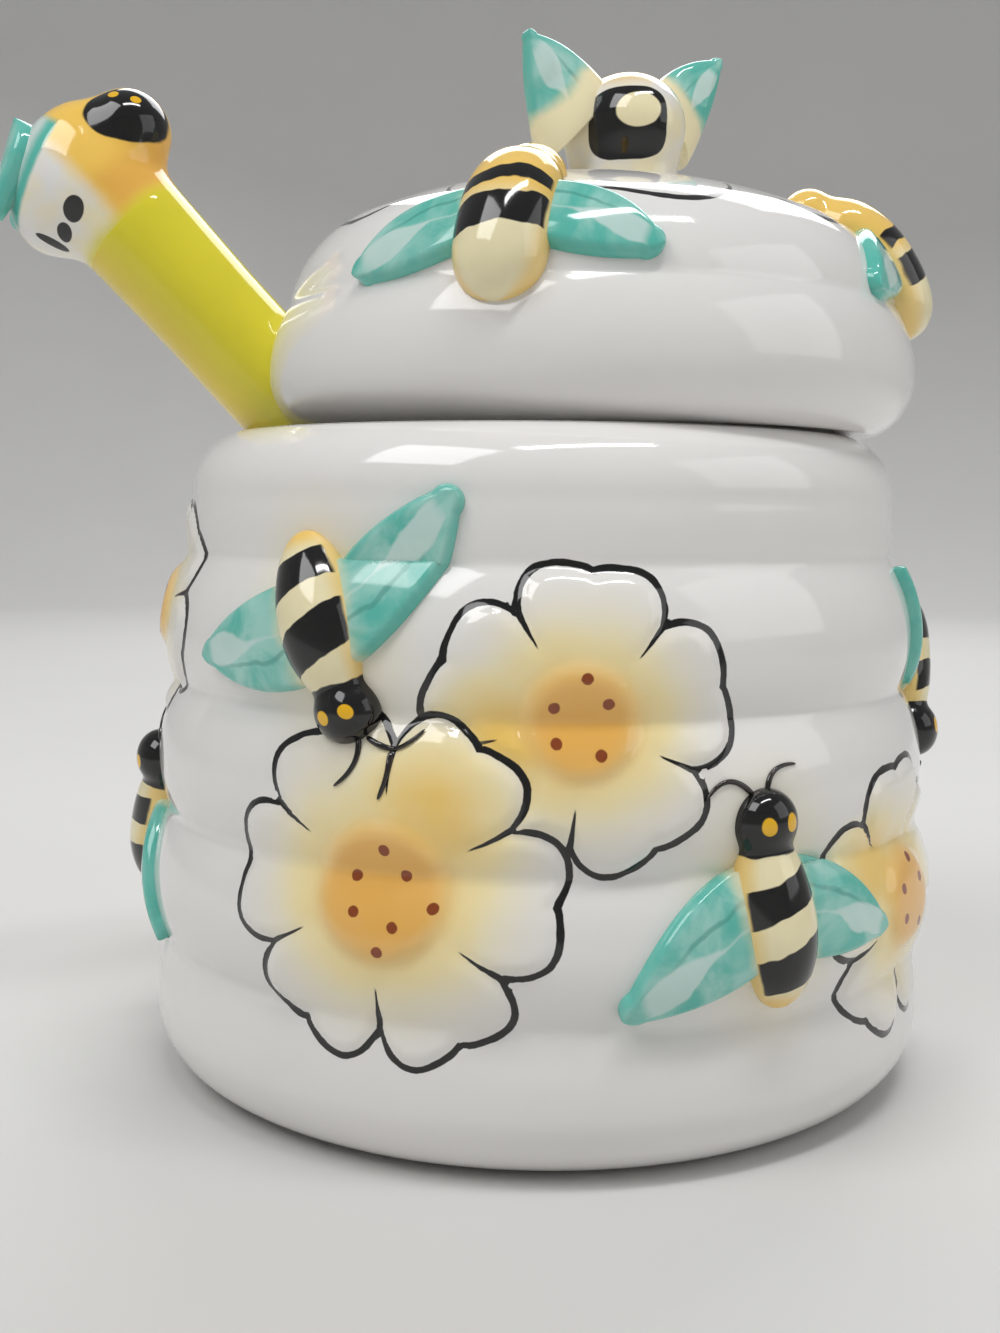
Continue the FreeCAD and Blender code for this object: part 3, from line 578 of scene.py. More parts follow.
def flower_field(form, flower, azimuth, radius, height):
    """Painting plan of one flower at points of the wall, as it is seen square on.

    Returned are the distance from the petals' edge, negative inside; a distance from the gaps
    between petals, rho sin(2 pi x) / petals; the distance from the middle as a share of the petal
    radius; the distance from the centre's edge; cos(2 pi x), which is positive near a gap; the
    strength of the spray; and the point's place across and up.
    """
    start, middle, size, disc, petals, turn, spray_turn = flower
    delta = azimuth - math.radians(start)
    u = radius * np.sin(delta)
    v = height - middle * MM
    rho = np.hypot(u, v) + 1e-9
    size = size * MM
    x = (np.arctan2(v, u) - math.radians(turn)) * petals / (2 * np.pi)
    rise = petal_edge(form, x + SLOPE_STEP) - petal_edge(form, x - SLOPE_STEP)
    slope = rise * size / (2 * SLOPE_STEP)
    steep = np.clip(np.abs(slope * petals / (2 * np.pi)) / rho, 0.0, STEEPEST)
    edge = (rho - size * petal_edge(form, x)) / np.sqrt(1.0 + steep ** 2)
    gap = rho * np.sin(2 * np.pi * x) / petals
    off_u = u - SPRAY_OFF * size * math.cos(math.radians(spray_turn))
    off_v = v - SPRAY_OFF * size * math.sin(math.radians(spray_turn))
    spray = SPRAY_MIDDLE[0] * np.exp(-(rho / (SPRAY_MIDDLE[1] * size)) ** 2)
    beside = np.exp(-(off_u ** 2 + off_v ** 2) / (SPRAY_SIDE[1] * size) ** 2)
    spray = np.maximum(spray, SPRAY_SIDE[0] * beside)
    found = (edge, gap, rho / size, rho - disc * MM, np.cos(2 * np.pi * x), spray, u, v)
    behind = np.cos(delta) < 0.3
    blank = (FAR, FAR, 3.0, FAR, 0.0, 0.0, FAR, FAR)
    return [np.where(behind, b, f) for b, f in zip(blank, found)]


def pot_fields(settings, skin, azimuth, run):
    """Relief of the flowers and the plans that the pot's paint follows, over a grid of the wall."""
    form = settings.flower
    radius = np.interp(run, skin.s, skin.r)
    height = np.interp(run, skin.s, skin.z)
    relief = 0.0
    plans = {}
    for layer, flowers in (("under", UNDER_FLOWERS), ("over", OVER_FLOWERS)):
        best = None
        for flower in flowers:
            found = flower_field(form, flower, azimuth, radius, height)
            nearer = found[0] < best[0] if best else True
            best = [np.where(nearer, f, b) for f, b in zip(found, best)] if best else found
        edge, gap, share, disc, near, spray, u, v = best
        petals = form.petal_rise * smooth(-edge / PETAL_SOFT)
        crease = np.exp(-(gap / CREASE_HALF) ** 2) * smooth(disc / CREASE_START) * (near > 0)
        petals = petals * (1.0 - CREASE_DEPTH * crease)
        centre = form.centre_rise * smooth((CENTRE_OUT - disc) / CENTRE_SOFT)
        relief = np.maximum(relief * smooth(edge / COVER_SOFT), np.maximum(petals, centre))
        plans["flower_" + layer] = np.stack([edge / MM, gap / MM, share], -1)
        plans["centre_" + layer] = np.stack([disc / MM, near, spray], -1)
        plans["seed_" + layer] = np.stack([u / MM, v / MM, 0 * u], -1)
    halo = 0.0
    for bee in POT_BEES:
        forward, side = skin.flat(bee_place(skin, bee), azimuth, run)
        reach = np.hypot(forward / HALO[0], side / HALO[1])
        halo = np.maximum(halo, smooth(HALO_EDGE - reach))
    plans["halo"] = halo
    return relief, plans


def bee_place(skin, bee):
    """Azimuth, run and heading of a bee on the pot."""
    azimuth, height, heading = bee[:3]
    return math.radians(azimuth), skin.run_at(height * MM), math.radians(heading)


def bee_body(form, fuller=0.0, blunt=2.0):
    """Forward, side and lift of a bee's body with its head, on a grid.

    Along the axis the half width is the smooth union (sixth-power mean) of an ellipse for the body
    and a circle for the head. Across, the section is an ellipse whose lower part is flat and lies
    under the surface.
    """
    t = np.linspace(0.0, np.pi, 97)[:, None]
    a = turns(72)
    tail = -form.body_behind - form.half_length
    nose = form.head_ahead + form.head_radius
    forward = (tail + nose) / 2 - (nose - tail) / 2 * np.cos(t)
    body = 1.0 - np.abs((forward + form.body_behind) / form.half_length) ** blunt
    head = 1.0 - ((forward - form.head_ahead) / form.head_radius) ** 2
    wide = (form.radius + fuller) * np.sqrt(np.clip(body, 0.0, 1.0))
    round_head = (form.head_radius + fuller / 2) * np.sqrt(np.clip(head, 0.0, 1.0))
    half = (wide ** 6 + round_head ** 6) ** (1 / 6)
    side = half * np.sin(a)
    height, flat = 0.92, -0.5
    lift = half * height * np.maximum(np.cos(a), flat)
    return forward + 0 * a, side, lift


def wing_edges(form, fore, tip, aft, tip_radius):
    """Front and rear edge of a wing in its plane, from root to tip.

    Each edge is a circular arc that bulges away from the wing by a share of its length, followed by
    a quarter of the round tip.
    """
    fore, tip, aft = (np.array(point, float) for point in (fore, tip, aft))
    out = tip - (fore + aft) / 2
    out = out / np.hypot(*out)
    across = np.array([-out[1], out[0]])
    across = across * np.sign(across @ (fore - aft))
    centre = tip - out * tip_radius
    edges = []
    for start, side, swell in ((fore, 1.0, form.fore_swell), (aft, -1.0, form.aft_swell)):
        end = centre + across * side * tip_radius
        square = np.array([start[1] - end[1], end[0] - start[0]])
        square = square * np.sign(square @ across) * side
        corner = centre + (across * side + out) * tip_radius * math.sqrt(0.5)
        line = np.concatenate([
            arc_points(start, (start + end) / 2 + square * swell, end, 60),
            arc_points(end, corner, tip, 24)[1:]])
        edges.append(resampled(line, 72))
    return edges


def wing_grid(edges, columns=64):
    """Plane points of a wing's closed section loops, with (along, across, inside) of each.

    A section goes from the front edge to the rear edge above and back below. Along runs from 0 at
    the root to 1 at the tip, across from -1 to 1, and inside is the distance from the edge.
    """
    fore, aft = (edge[:, None, :] for edge in edges)
    t = turns(columns)
    b = np.cos(t)
    points = (fore + aft) / 2 + (fore - aft) / 2 * b[..., None]
    half = np.linalg.norm(fore - aft, axis=-1) / 2
    along = np.linspace(0.0, 1.0, len(half))[:, None] + 0 * b
    return points, np.sin(t) + 0 * half, np.stack([along, b + 0 * half, half * (1 - np.abs(b))], -1)


def closed_root(points):
    """A grid with one more row at its start, drawn together to a point."""
    return np.concatenate([np.broadcast_to(points[:1].mean(1, keepdims=True), points[:1].shape),
                           points])


def laid_wing(form, fore, tip, aft):
    """Forward, side and lift of a wing that lies on a surface, its edges rounded and buried."""
    points, upper, plan = wing_grid(wing_edges(form, fore, tip, aft, form.tip_radius))
    sunk, rounding = 0.5 * MM, 1.3 * MM
    edge = 1.0 - np.clip(plan[..., 2] / rounding, 0.0, 1.0)
    lift = -sunk + (form.wing_rise + sunk) * np.sqrt(1.0 - edge ** 2) * (upper > 0)
    plan[..., 2] /= MM
    return points[..., 0], points[..., 1], lift, plan


def free_wing(form, origin, along, across, corners, tip_radius, root_fill=0.0, root_round=0.0):
    """Points of a wing that stands free, round at its edges and fuller at its root.

    Over the share root_round of its length the root is drawn in to a half ellipse.
    """
    fore, aft = wing_edges(form, *corners, tip_radius)
    if root_round:
        left = 1.0 - np.clip(np.linspace(0.0, 1.0, len(fore)) / root_round, 0.0, 1.0)
        half = (fore - aft) / 2 * (1.0 - np.sqrt(1.0 - left ** 2))[:, None]
        fore, aft = fore - half, aft + half
    points, upper, plan = wing_grid((fore, aft))
    normal = np.cross(along, across)
    half = np.sqrt(np.clip(1.0 - plan[..., 1] ** 2, 0.0, 1.0))
    along_share = plan[..., 0]
    at_tip = 0.45
    outer, inner = smooth((1.0 - along_share) * 2.0), smooth(1.0 - along_share / 0.5)
    thin = form.free_wing / 2 * (at_tip + (1.0 - at_tip) * outer + root_fill * inner)
    depth = np.sign(upper) * thin * half ** 0.7
    plan[..., 2] /= MM
    return (origin + points[..., :1] * along + points[..., 1:] * across
            + depth[..., None] * normal), plan


def feeler_tube(form, line):
    """Forward, side and lift of a feeler: a thin tube along a bend, half buried, with fine ends."""
    start, bend, end = (np.array(point) * MM for point in line)
    t = np.linspace(0.0, 1.0, 33)[:, None]
    path = (1 - t) ** 2 * start + 2 * t * (1 - t) * bend + t ** 2 * end
    slope = 2 * (1 - t) * (bend - start) + 2 * t * (end - bend)
    slope = slope / np.linalg.norm(slope, axis=1, keepdims=True)
    a = turns(12)
    r = form.feeler_radius * (1.15 - 0.5 * t) * np.sqrt(np.clip(1 - (2 * t - 1) ** 8, 0.0, 1.0))
    forward = path[:, :1] - slope[:, 1:] * r * np.cos(a)
    side = path[:, 1:] + slope[:, :1] * r * np.cos(a)
    return forward, side, 0.08 * MM + r * np.sin(a)


class Paint:
    """Adds shader nodes to a tree. A value may be a socket or a plain number or colour."""

    def __init__(self, tree):
        self.tree = tree

    def set(self, socket, value):
        if isinstance(value, bpy.types.NodeSocket):
            self.tree.links.new(value, socket)
        elif hasattr(socket.default_value, "__len__") and len(socket.default_value) == 4:
            socket.default_value = tuple(value)[:3] + (1.0,)
        else:
            socket.default_value = value

    def node(self, kind, inputs=(), **settings):
        node = self.tree.nodes.new(kind)
        for name, value in settings.items():
            setattr(node, name, value)
        for key, value in dict(inputs).items():
            self.set(node.inputs[key], value)
        return node

    def math(self, operation, a, b=0.0):
        return self.node("ShaderNodeMath", {0: a, 1: b}, operation=operation).outputs[0]

    def times(self, a, b):
        return self.math("MULTIPLY", a, b)

    def plus(self, a, b):
        return self.math("ADD", a, b)

    def minus(self, a, b):
        return self.math("SUBTRACT", a, b)

    def unsigned(self, a):
        return self.math("ABSOLUTE", a)

    def ramp(self, value, low, high):
        """Soft step from 0 at low to 1 at high; high may be the smaller."""
        return self.node("ShaderNodeMapRange", {"Value": value, "From Min": low, "From Max": high},
                         interpolation_type="SMOOTHSTEP").outputs[0]

    def mix(self, factor, a, b):
        node = self.node("ShaderNodeMix", {0: factor, 6: a, 7: b}, data_type="RGBA")
        return node.outputs[2]

    def field(self, name):
        """X, Y and Z of one of the piece's own attributes."""
        found = self.node("ShaderNodeAttribute", attribute_name=name)
        return self.node("ShaderNodeSeparateXYZ", {0: found.outputs["Vector"]}).outputs

    def value(self, name):
        return self.node("ShaderNodeAttribute", attribute_name=name).outputs["Fac"]

    def place(self):
        return self.node("ShaderNodeTexCoord").outputs["Object"]

    def noise(self, scale, detail, distortion=0.0):
        return self.node("ShaderNodeTexNoise", {
            "Vector": self.place(), "Scale": scale, "Detail": detail,
            "Distortion": distortion}).outputs[0]

    def group(self, tree, inputs):
        node = self.node("ShaderNodeGroup", node_tree=tree)
        for key, value in inputs.items():
            self.set(node.inputs[key], value)
        return node.outputs


def new_group(name, inputs, outputs):
    """An empty shader node group with float inputs of given defaults and float outputs."""
    tree = bpy.data.node_groups.new(name, "ShaderNodeTree")
    for key, default in inputs.items():
        socket = tree.interface.new_socket(key, in_out="INPUT", socket_type="NodeSocketFloat")
        socket.default_value = default
    for key in outputs:
        tree.interface.new_socket(key, in_out="OUTPUT", socket_type="NodeSocketFloat")
    paint = Paint(tree)
    return tree, paint, paint.node("NodeGroupInput").outputs, paint.node("NodeGroupOutput").inputs


def hand_wobble():
    """Group: slow noise about zero, in the units of Amount, that bends painted edges."""
    name = "hand_wobble"
    if name in bpy.data.node_groups:
        return bpy.data.node_groups[name]
    tree, paint, given, result = new_group(name, {"Scale": 300.0, "Amount": 0.3}, ["Offset"])
    noise = paint.noise(given["Scale"], 2.0)
    centred = paint.times(paint.minus(noise, 0.5), 2.0)
    paint.set(result["Offset"], paint.times(centred, given["Amount"]))
    return tree


def wobble(paint, scale, amount):
    """Socket of a hand's wobble of a given scale and amount."""
    return paint.group(hand_wobble(), {"Scale": scale, "Amount": amount})[0]


def brush_stroke():
    """Group: a painted line round a signed distance, its width and edge uneven as from a brush."""
    name = "brush_stroke"
    if name in bpy.data.node_groups:
        return bpy.data.node_groups[name]
    tree, paint, given, result = new_group(
        name, {"Distance": 0.0, "Half Width": 0.36, "Wobble": 0.25}, ["Mask"])
    sway = wobble(paint, 170.0, given["Wobble"])
    press = wobble(paint, 420.0, 0.45)
    away = paint.unsigned(paint.plus(given["Distance"], sway))
    half = paint.times(given["Half Width"], paint.plus(press, 1.0))
    soft = paint.plus(half, 0.12)
    paint.set(result["Mask"], paint.ramp(away, soft, half))
    return tree


def stroke(paint, distance, half_width):
    """Socket of the mask of a brush line."""
    return paint.group(brush_stroke(), {"Distance": distance, "Half Width": half_width})[0]


def glaze_skin():
    """Group: the slight waves and orange-peel of a fired glaze, as a height and a roughness."""
    name = "glaze_skin"
    if name in bpy.data.node_groups:
        return bpy.data.node_groups[name]
    tree, paint, given, result = new_group(
        name, {"Waves": 1.0, "Gloss": 0.09}, ["Height", "Roughness"])
    slow = paint.noise(55.0, 1.0)
    fine = paint.noise(700.0, 2.0)
    height = paint.plus(slow, paint.times(fine, 0.04))
    paint.set(result["Height"], paint.times(height, given["Waves"]))
    patch = paint.times(paint.minus(fine, 0.5), 0.06)
    paint.set(result["Roughness"], paint.plus(given["Gloss"], patch))
    return tree


def glazed(name, colouring, settings):
    """A glazed ceramic material whose base colour is the socket that colouring returns."""
    material = bpy.data.materials.new(name)
    material.use_nodes = True
    tree = material.node_tree
    paint = Paint(tree)
    shader = tree.nodes["Principled BSDF"]
    skin = paint.group(glaze_skin(), {})
    bump = paint.node("ShaderNodeBump", {"Strength": 0.25, "Distance": 0.0006,
                                         "Height": skin["Height"]})
    paint.set(shader.inputs["Base Color"], colouring(paint, settings))
    paint.set(shader.inputs["Roughness"], skin["Roughness"])
    paint.set(shader.inputs["Normal"], bump.outputs[0])
    shader.inputs["IOR"].default_value = 1.5
    shader.inputs["Coat Weight"].default_value = 0.3
    shader.inputs["Coat Roughness"].default_value = 0.03
    return material


def speckle(paint, colour_a, colour_b, scale):
    """Two colours mixed by soft cloudy noise, as where glaze pools and thins."""
    return paint.mix(paint.ramp(paint.noise(scale, 3.0), 0.3, 0.7), colour_a, colour_b)


def pot_glaze(paint, settings):
    """White glaze with sprayed flowers, their centres and dots, black outlines and bees' halos."""
    glaze = settings.glaze
    width = settings.flower.line_width / MM
    white = speckle(paint, glaze.white, darker(glaze.white, 0.97), 35.0)
    halo = paint.times(paint.value("halo"), 0.5)
    surface = paint.mix(halo, white, glaze.cream)
    covered = paint.ramp(paint.field("flower_over")[0], 0.0, 0.4)
    for layer in ("under", "over"):
        edge, gap, share = paint.field("flower_" + layer)
        disc, near, spray = paint.field("centre_" + layer)
        shown = covered if layer == "under" else 1.0
        cloud = wobble(paint, 120.0, 0.25)
        mist = paint.times(spray, paint.plus(cloud, 0.92))
        mist = paint.times(mist, paint.ramp(edge, 2.5, -1.5))
        haze = paint.times(paint.ramp(mist, 0.02, 0.42), shown)
        surface = paint.mix(paint.times(haze, 0.8), surface, glaze.honey)
        thick = paint.times(paint.ramp(mist, 0.22, 0.95), shown)
        surface = paint.mix(thick, surface, glaze.amber)
        middle = paint.times(paint.ramp(disc, 0.8, -3.5), 0.72)
        surface = paint.mix(paint.times(middle, shown), surface, glaze.orange)
        place = paint.node("ShaderNodeAttribute", attribute_name="seed_" + layer)
        cell = paint.node("ShaderNodeTexVoronoi", {
            "Vector": place.outputs["Vector"], "Scale": 0.225, "Randomness": 0.75},
            voronoi_dimensions="2D")
        blot = wobble(paint, 900.0, 0.03)
        seed = paint.ramp(paint.plus(cell.outputs["Distance"], blot), 0.165, 0.135)
        reach = paint.node("ShaderNodeVectorMath", {0: cell.outputs["Position"]},
                           operation="LENGTH").outputs["Value"]
        here = paint.node("ShaderNodeVectorMath", {0: place.outputs["Vector"]},
                          operation="LENGTH").outputs["Value"]
        within = paint.minus(reach, paint.minus(here, disc))
        seed = paint.times(seed, paint.ramp(within, -1.5, -1.7))
        surface = paint.mix(paint.times(seed, shown), surface, glaze.seed)
        outline = stroke(paint, edge, width)
        thin = paint.times(paint.ramp(share, 0.46, 0.90), width * 1.15)
        line = stroke(paint, gap, thin)
        line = paint.times(line, paint.ramp(share, 0.52, 0.56))
        line = paint.times(line, paint.ramp(near, 0.1, 0.3))
        line = paint.times(line, paint.ramp(edge, 0.3, 0.0))
        ink = paint.times(paint.math("MAXIMUM", outline, line), shown)
        surface = paint.mix(ink, surface, glaze.black)
    return surface


def lid_glaze(paint, settings):
    """White glaze with a large flower outlined round the knob."""
    glaze = settings.glaze
    width = settings.flower.line_width / MM
    white = speckle(paint, glaze.white, darker(glaze.white, 0.97), 35.0)
    edge = paint.value("flower_lid")
    ink = stroke(paint, edge, width)
    return paint.mix(ink, white, glaze.black)


def bee_glaze(paint, settings, bands=((0.9, 2.3), (-7.2, 2.3)), slant=-0.33, black_head=True):
    """Cream body, amber along its edges and tail, black bands, and a black head with two eyes."""
    glaze = settings.glaze
    form = settings.bee
    forward, side, share = paint.field("bee_plan")
    cream = speckle(paint, glaze.cream, darker(glaze.cream, 0.94), 160.0)
    beside = paint.unsigned(share)
    rim = paint.times(paint.ramp(beside, 0.6, 1.0), 0.7)
    tail = paint.ramp(forward, -9.5, -13.0)
    if not black_head:
        tail = paint.times(paint.ramp(forward, -4.5, -1.0), 0.9)
    surface = paint.mix(paint.math("MAXIMUM", rim, tail), cream, glaze.amber)
    sway = wobble(paint, 230.0, 0.8)
    at = paint.plus(paint.plus(forward, paint.times(side, slant)), sway)
    inner = paint.ramp(paint.plus(beside, paint.times(sway, 0.08)), 0.92, 0.86)
    for middle, half in bands:
        away = paint.unsigned(paint.minus(at, middle))
        band = paint.times(paint.ramp(away, half + 0.12, half - 0.08), inner)
        surface = paint.mix(band, surface, glaze.black)
    if not black_head:
        return surface
    brow = paint.plus(forward, sway)
    surface = paint.mix(paint.ramp(brow, 6.0, 6.25), surface, glaze.black)
    eye = spot(paint, paint.unsigned(side), forward, (1.5, form.head_ahead / MM + 0.4),
               (form.eye_radius / MM, form.eye_radius / MM * 1.25))
    return paint.mix(paint.ramp(eye, 1.1, 0.9), surface, glaze.eye)


def lid_bee_glaze(paint, settings):
    """The lid's bees: a broad and a narrow black band, amber from there to the head."""
    return bee_glaze(paint, settings, ((-4.7, 1.9), (-0.5, 0.85)), -0.12, False)


def wing_glaze(paint, settings, bare=0.05, pale=0.46):
    """Thin teal paint, darker along the edges, with a pale streak, a vein and a bare root."""
    glaze = settings.glaze
    along, across, inside = paint.field("wing_plan")
    noise = paint.noise(150.0, 4.0, 0.8)
    sway = wobble(paint, 200.0, 0.18)
    drift = paint.plus(along, paint.times(sway, 0.5))
    wash = paint.mix(paint.times(paint.ramp(noise, 0.35, 0.68), 0.75),
                     glaze.teal, glaze.pale_teal)
    middle = paint.plus(across, paint.plus(sway, 0.08))
    wide = paint.times(paint.ramp(drift, 0.22, 0.7), pale)
    streak = paint.ramp(paint.minus(paint.unsigned(middle), wide), 0.06, -0.04)
    streak = paint.times(streak, paint.ramp(drift, 0.84, 0.74))
    wash = paint.mix(paint.times(streak, 0.8), wash, glaze.streak)
    rim = paint.times(paint.ramp(inside, 1.3, 0.3), 0.75)
    wash = paint.mix(rim, wash, glaze.teal)
    vein = paint.ramp(paint.unsigned(paint.minus(middle, 0.42)), 0.07, 0.02)
    vein = paint.times(vein, paint.ramp(drift, 0.75, 0.35))
    wash = paint.mix(paint.times(vein, 0.6), wash, darker(glaze.teal, 0.6))
    return paint.mix(paint.ramp(drift, bare + 0.10, bare - 0.06), wash, glaze.cream)


def free_wing_glaze(paint, settings):
    """The knob's wings, left cream further out from their roots."""
    return wing_glaze(paint, settings, bare=0.30)


def finial_wing_glaze(paint, settings):
    """The finial's wings, teal to their roots with a broad pale middle."""
    return wing_glaze(paint, settings, bare=-0.2, pale=0.8)


def ink_glaze(paint, settings):
    """Black brush lines, slightly brown where the paint thins."""
    glaze = settings.glaze
    return speckle(paint, glaze.black, glaze.thin_black, 500.0)


def shaft_glaze(paint, settings):
    """Yellow glaze, with painted shade in amber along the underside."""
    glaze = settings.glaze
    over = paint.value("shaft_over")
    body = speckle(paint, glaze.yellow, darker(glaze.yellow, 0.92), 60.0)
    # Painted shade: amber laid along the shaft's underside, where shadow falls.
    under = paint.times(paint.ramp(over, -0.2, -1.0), 0.45)
    return paint.mix(under, body, glaze.amber)


def spot(paint, x, y, at, size):
    """Distance from an oval's middle in shares of its half sizes, 1 on its edge."""
    dx = paint.math("DIVIDE", paint.minus(x, at[0]), size[0])
    dy = paint.math("DIVIDE", paint.minus(y, at[1]), size[1])
    return paint.math("SQRT", paint.plus(paint.times(dx, dx), paint.times(dy, dy)))


def knob_glaze(paint, settings):
    """Cream body, amber on top, and on its tail a black patch with a cream drop in it."""
    glaze = settings.glaze
    across, towards, up = paint.field("knob_plan")
    cream = speckle(paint, glaze.cream, darker(glaze.white, 0.95), 120.0)
    surface = paint.mix(paint.ramp(up, 4.2, 7.0), cream, glaze.amber)
    sway = wobble(paint, 260.0, 0.10)
    near = paint.ramp(towards, -1.0, -2.0)
    dx = paint.unsigned(paint.math("DIVIDE", paint.plus(across, -0.1), 5.3))
    dy = paint.unsigned(paint.math("DIVIDE", paint.plus(up, 0.6), 4.9))
    block = paint.plus(paint.math("POWER", dx, 3.2), paint.math("POWER", dy, 3.2))
    patch = paint.times(paint.ramp(paint.plus(block, sway), 1.06, 0.96), near)
    surface = paint.mix(patch, surface, glaze.black)
    drop = paint.plus(spot(paint, across, up, (1.5, 0.9), (3.0, 2.4)), sway)
    drop = paint.times(paint.ramp(drop, 1.05, 0.95), near)
    return paint.mix(drop, surface, glaze.cream)


def finial_glaze(paint, settings):
    """Cream body with an amber head, a black cap with two yellow eyes, black spots and bands, and
    teal folded wings with a painted highlight in white.
    """
    glaze = settings.glaze
    ahead, beside, back = paint.field("finial_plan")
    along, over, _ = paint.field("neck_plan")
    cloud = wobble(paint, 150.0, 1.0)
    past = paint.plus(along, cloud)
    above = paint.plus(over, cloud)
    white = speckle(paint, glaze.white, glaze.cream, 140.0)
    surface = paint.mix(paint.ramp(above, -1.8, 1.6), white, glaze.amber)
    ring = paint.times(paint.ramp(past, -4.0, -0.5), paint.ramp(past, 6.0, 1.0))
    ring = paint.times(ring, paint.ramp(above, -0.5, 2.5))
    surface = paint.mix(paint.times(ring, 0.65), surface, glaze.orange)
    surface = paint.mix(paint.ramp(past, -1.0, -4.0), surface, glaze.yellow)
    behind = paint.plus(back, paint.times(cloud, 0.5))
    folded = paint.times(paint.ramp(behind, 2.4, 3.2), paint.ramp(ahead, 6.5, 5.0))
    folded = paint.times(folded, paint.ramp(ahead, -10.5, -9.0))
    surface = paint.mix(folded, surface, glaze.teal)
    # Painted highlight: white laid along the middle of the teal folded wings, where light catches
    # them.
    painted_highlight = paint.times(paint.ramp(behind, 3.6, 5.4), folded)
    surface = paint.mix(paint.times(painted_highlight, 0.75), surface, glaze.white)
    across, up, front = paint.field("cap_plan")
    sway = wobble(paint, 240.0, 0.08)
    cap = paint.plus(spot(paint, across, up, (0.0, 0.0), (0.95, 0.70)), sway)
    cap = paint.times(paint.ramp(cap, 1.04, 0.97), paint.ramp(front, 0.0, 0.1))
    surface = paint.mix(cap, surface, glaze.black)
    for at in ((-0.22, 0.30), (0.28, 0.46)):
        eye = spot(paint, across, up, at, (0.12, 0.11))
        eye = paint.times(paint.ramp(eye, 1.1, 0.9), paint.ramp(front, 0.0, 0.1))
        surface = paint.mix(eye, surface, glaze.eye)
    near = paint.ramp(beside, -2.0, -3.0)
    for at, size in (((-4.0, -4.9), (1.8, 1.5)), ((-7.4, -4.3), (1.2, 1.1)),
                     ((-9.4, -2.6), (0.5, 2.4))):
        mark = paint.plus(spot(paint, ahead, back, at, size), sway)
        mark = paint.times(paint.ramp(mark, 1.06, 0.94), near)
        surface = paint.mix(mark, surface, glaze.black)
    return surface


def materials(settings):
    """The glazes by name, each made once."""
    makers = {"painted_pot": pot_glaze, "painted_lid": lid_glaze, "painted_bee": bee_glaze,
              "painted_wing": wing_glaze, "painted_ink": ink_glaze, "painted_shaft": shaft_glaze,
              "painted_knob": knob_glaze, "painted_finial": finial_glaze,
              "painted_lid_bee": lid_bee_glaze, "painted_free_wing": free_wing_glaze,
              "painted_finial_wing": finial_wing_glaze}
    for name, maker in makers.items():
        if name not in bpy.data.materials:
            glazed(name, maker, settings)
    return bpy.data.materials


def add_wing(name, points, plan, body, material):
    """A wing that stands for the CAD wing of its name, its root drawn together to a point."""
    add_surface(name, closed_root(points), body, material, {"wing_plan": closed_root(plan)}, [name])


def add_bee(skin, place, name, body, wings, feelers, settings, fuller=0.0, blunt=2.0,
            paint="painted_bee"):
    """Body, wings and feelers of a bee that lies on a surface."""
    form = settings.bee
    glazes = materials(settings)
    forward, side, lift = bee_body(form, fuller, blunt)
    half = np.abs(side).max(1, keepdims=True) + 1e-6
    plan = np.stack([forward / MM, side / MM, side / half], -1)
    even = skin.evened(form.half_length / 2)
    add_surface(name + "_body", even.laid(place, forward, side, lift), body, glazes[paint],
                {"bee_plan": plan}, [name + "_body"])
    for label, corners in wings:
        forward, side, lift, plan = laid_wing(form, *corners)
        add_wing("%s_wing_%s" % (name, label), skin.laid(place, forward, side, lift), plan, body,
                 glazes["painted_wing"])
    for number, line in enumerate(feelers, 1):
        forward, side, lift = feeler_tube(form, line)
        lift = lift + pot_fields(settings, skin, *skin.under(place, forward, side))[0]
        add_surface("%s_feeler_%d" % (name, number), skin.laid(place, forward, side, lift), body,
                    glazes["painted_ink"])


def lid_outline(form):
    """Outline of the lid's outside, from the seat's edge up to the crown."""
    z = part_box("lid_shell")[0].z + form.flange_depth
    widest = (form.rib_radius, z + form.rib_rise)
    groove = (form.groove_radius, z + form.groove_rise)
    shoulder = (form.shoulder_radius, z + form.shoulder_rise)
    crown = z + form.height
    fall = form.height - form.shoulder_rise
    ball = (form.shoulder_radius ** 2 + fall ** 2) / (2 * fall)
    half = form.shoulder_radius / 2
    cap = (half, crown - ball + math.sqrt(ball ** 2 - half ** 2))
    arcs = [
        ((form.seat_radius, z), (form.rib_radius - form.edge_in, z + form.edge_rise), widest),
        (widest, (form.rib_radius - form.rib_fall, (widest[1] + groove[1]) / 2), groove),
        (groove, (form.side_radius, z + form.side_rise), shoulder),
        (shoulder, cap, (0.0, crown)),
    ]
    return np.concatenate([arc_points(*three, 50)[:-1] for three in arcs] + [[(0.0, crown)]])


def lid_inside(form):
    """Outline from the middle of the lid's hollow down to the flange and out to the seat."""
    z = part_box("lid_shell")[0].z + form.flange_depth
    inner = form.flange_radius - form.flange_wall
    roof = z + form.height - form.wall
    knots = np.array([
        (0.0, roof), (form.shoulder_radius * 0.5, roof - 0.0018),
        (form.shoulder_radius - 0.0027, z + form.shoulder_rise - 0.0035),
        (form.groove_radius - form.wall, z + form.groove_rise),
        (form.rib_radius - form.wall - 0.0024, z + form.rib_rise),
        (inner + 0.0006, z + 0.0025), (inner, z), (inner, z - form.flange_depth + 0.0004),
        (inner + 0.0004, z - form.flange_depth),
        (form.flange_radius - 0.0004, z - form.flange_depth),
        (form.flange_radius, z - form.flange_depth + 0.0004), (form.flange_radius, z),
        (form.seat_radius, z),
    ])
    return knots


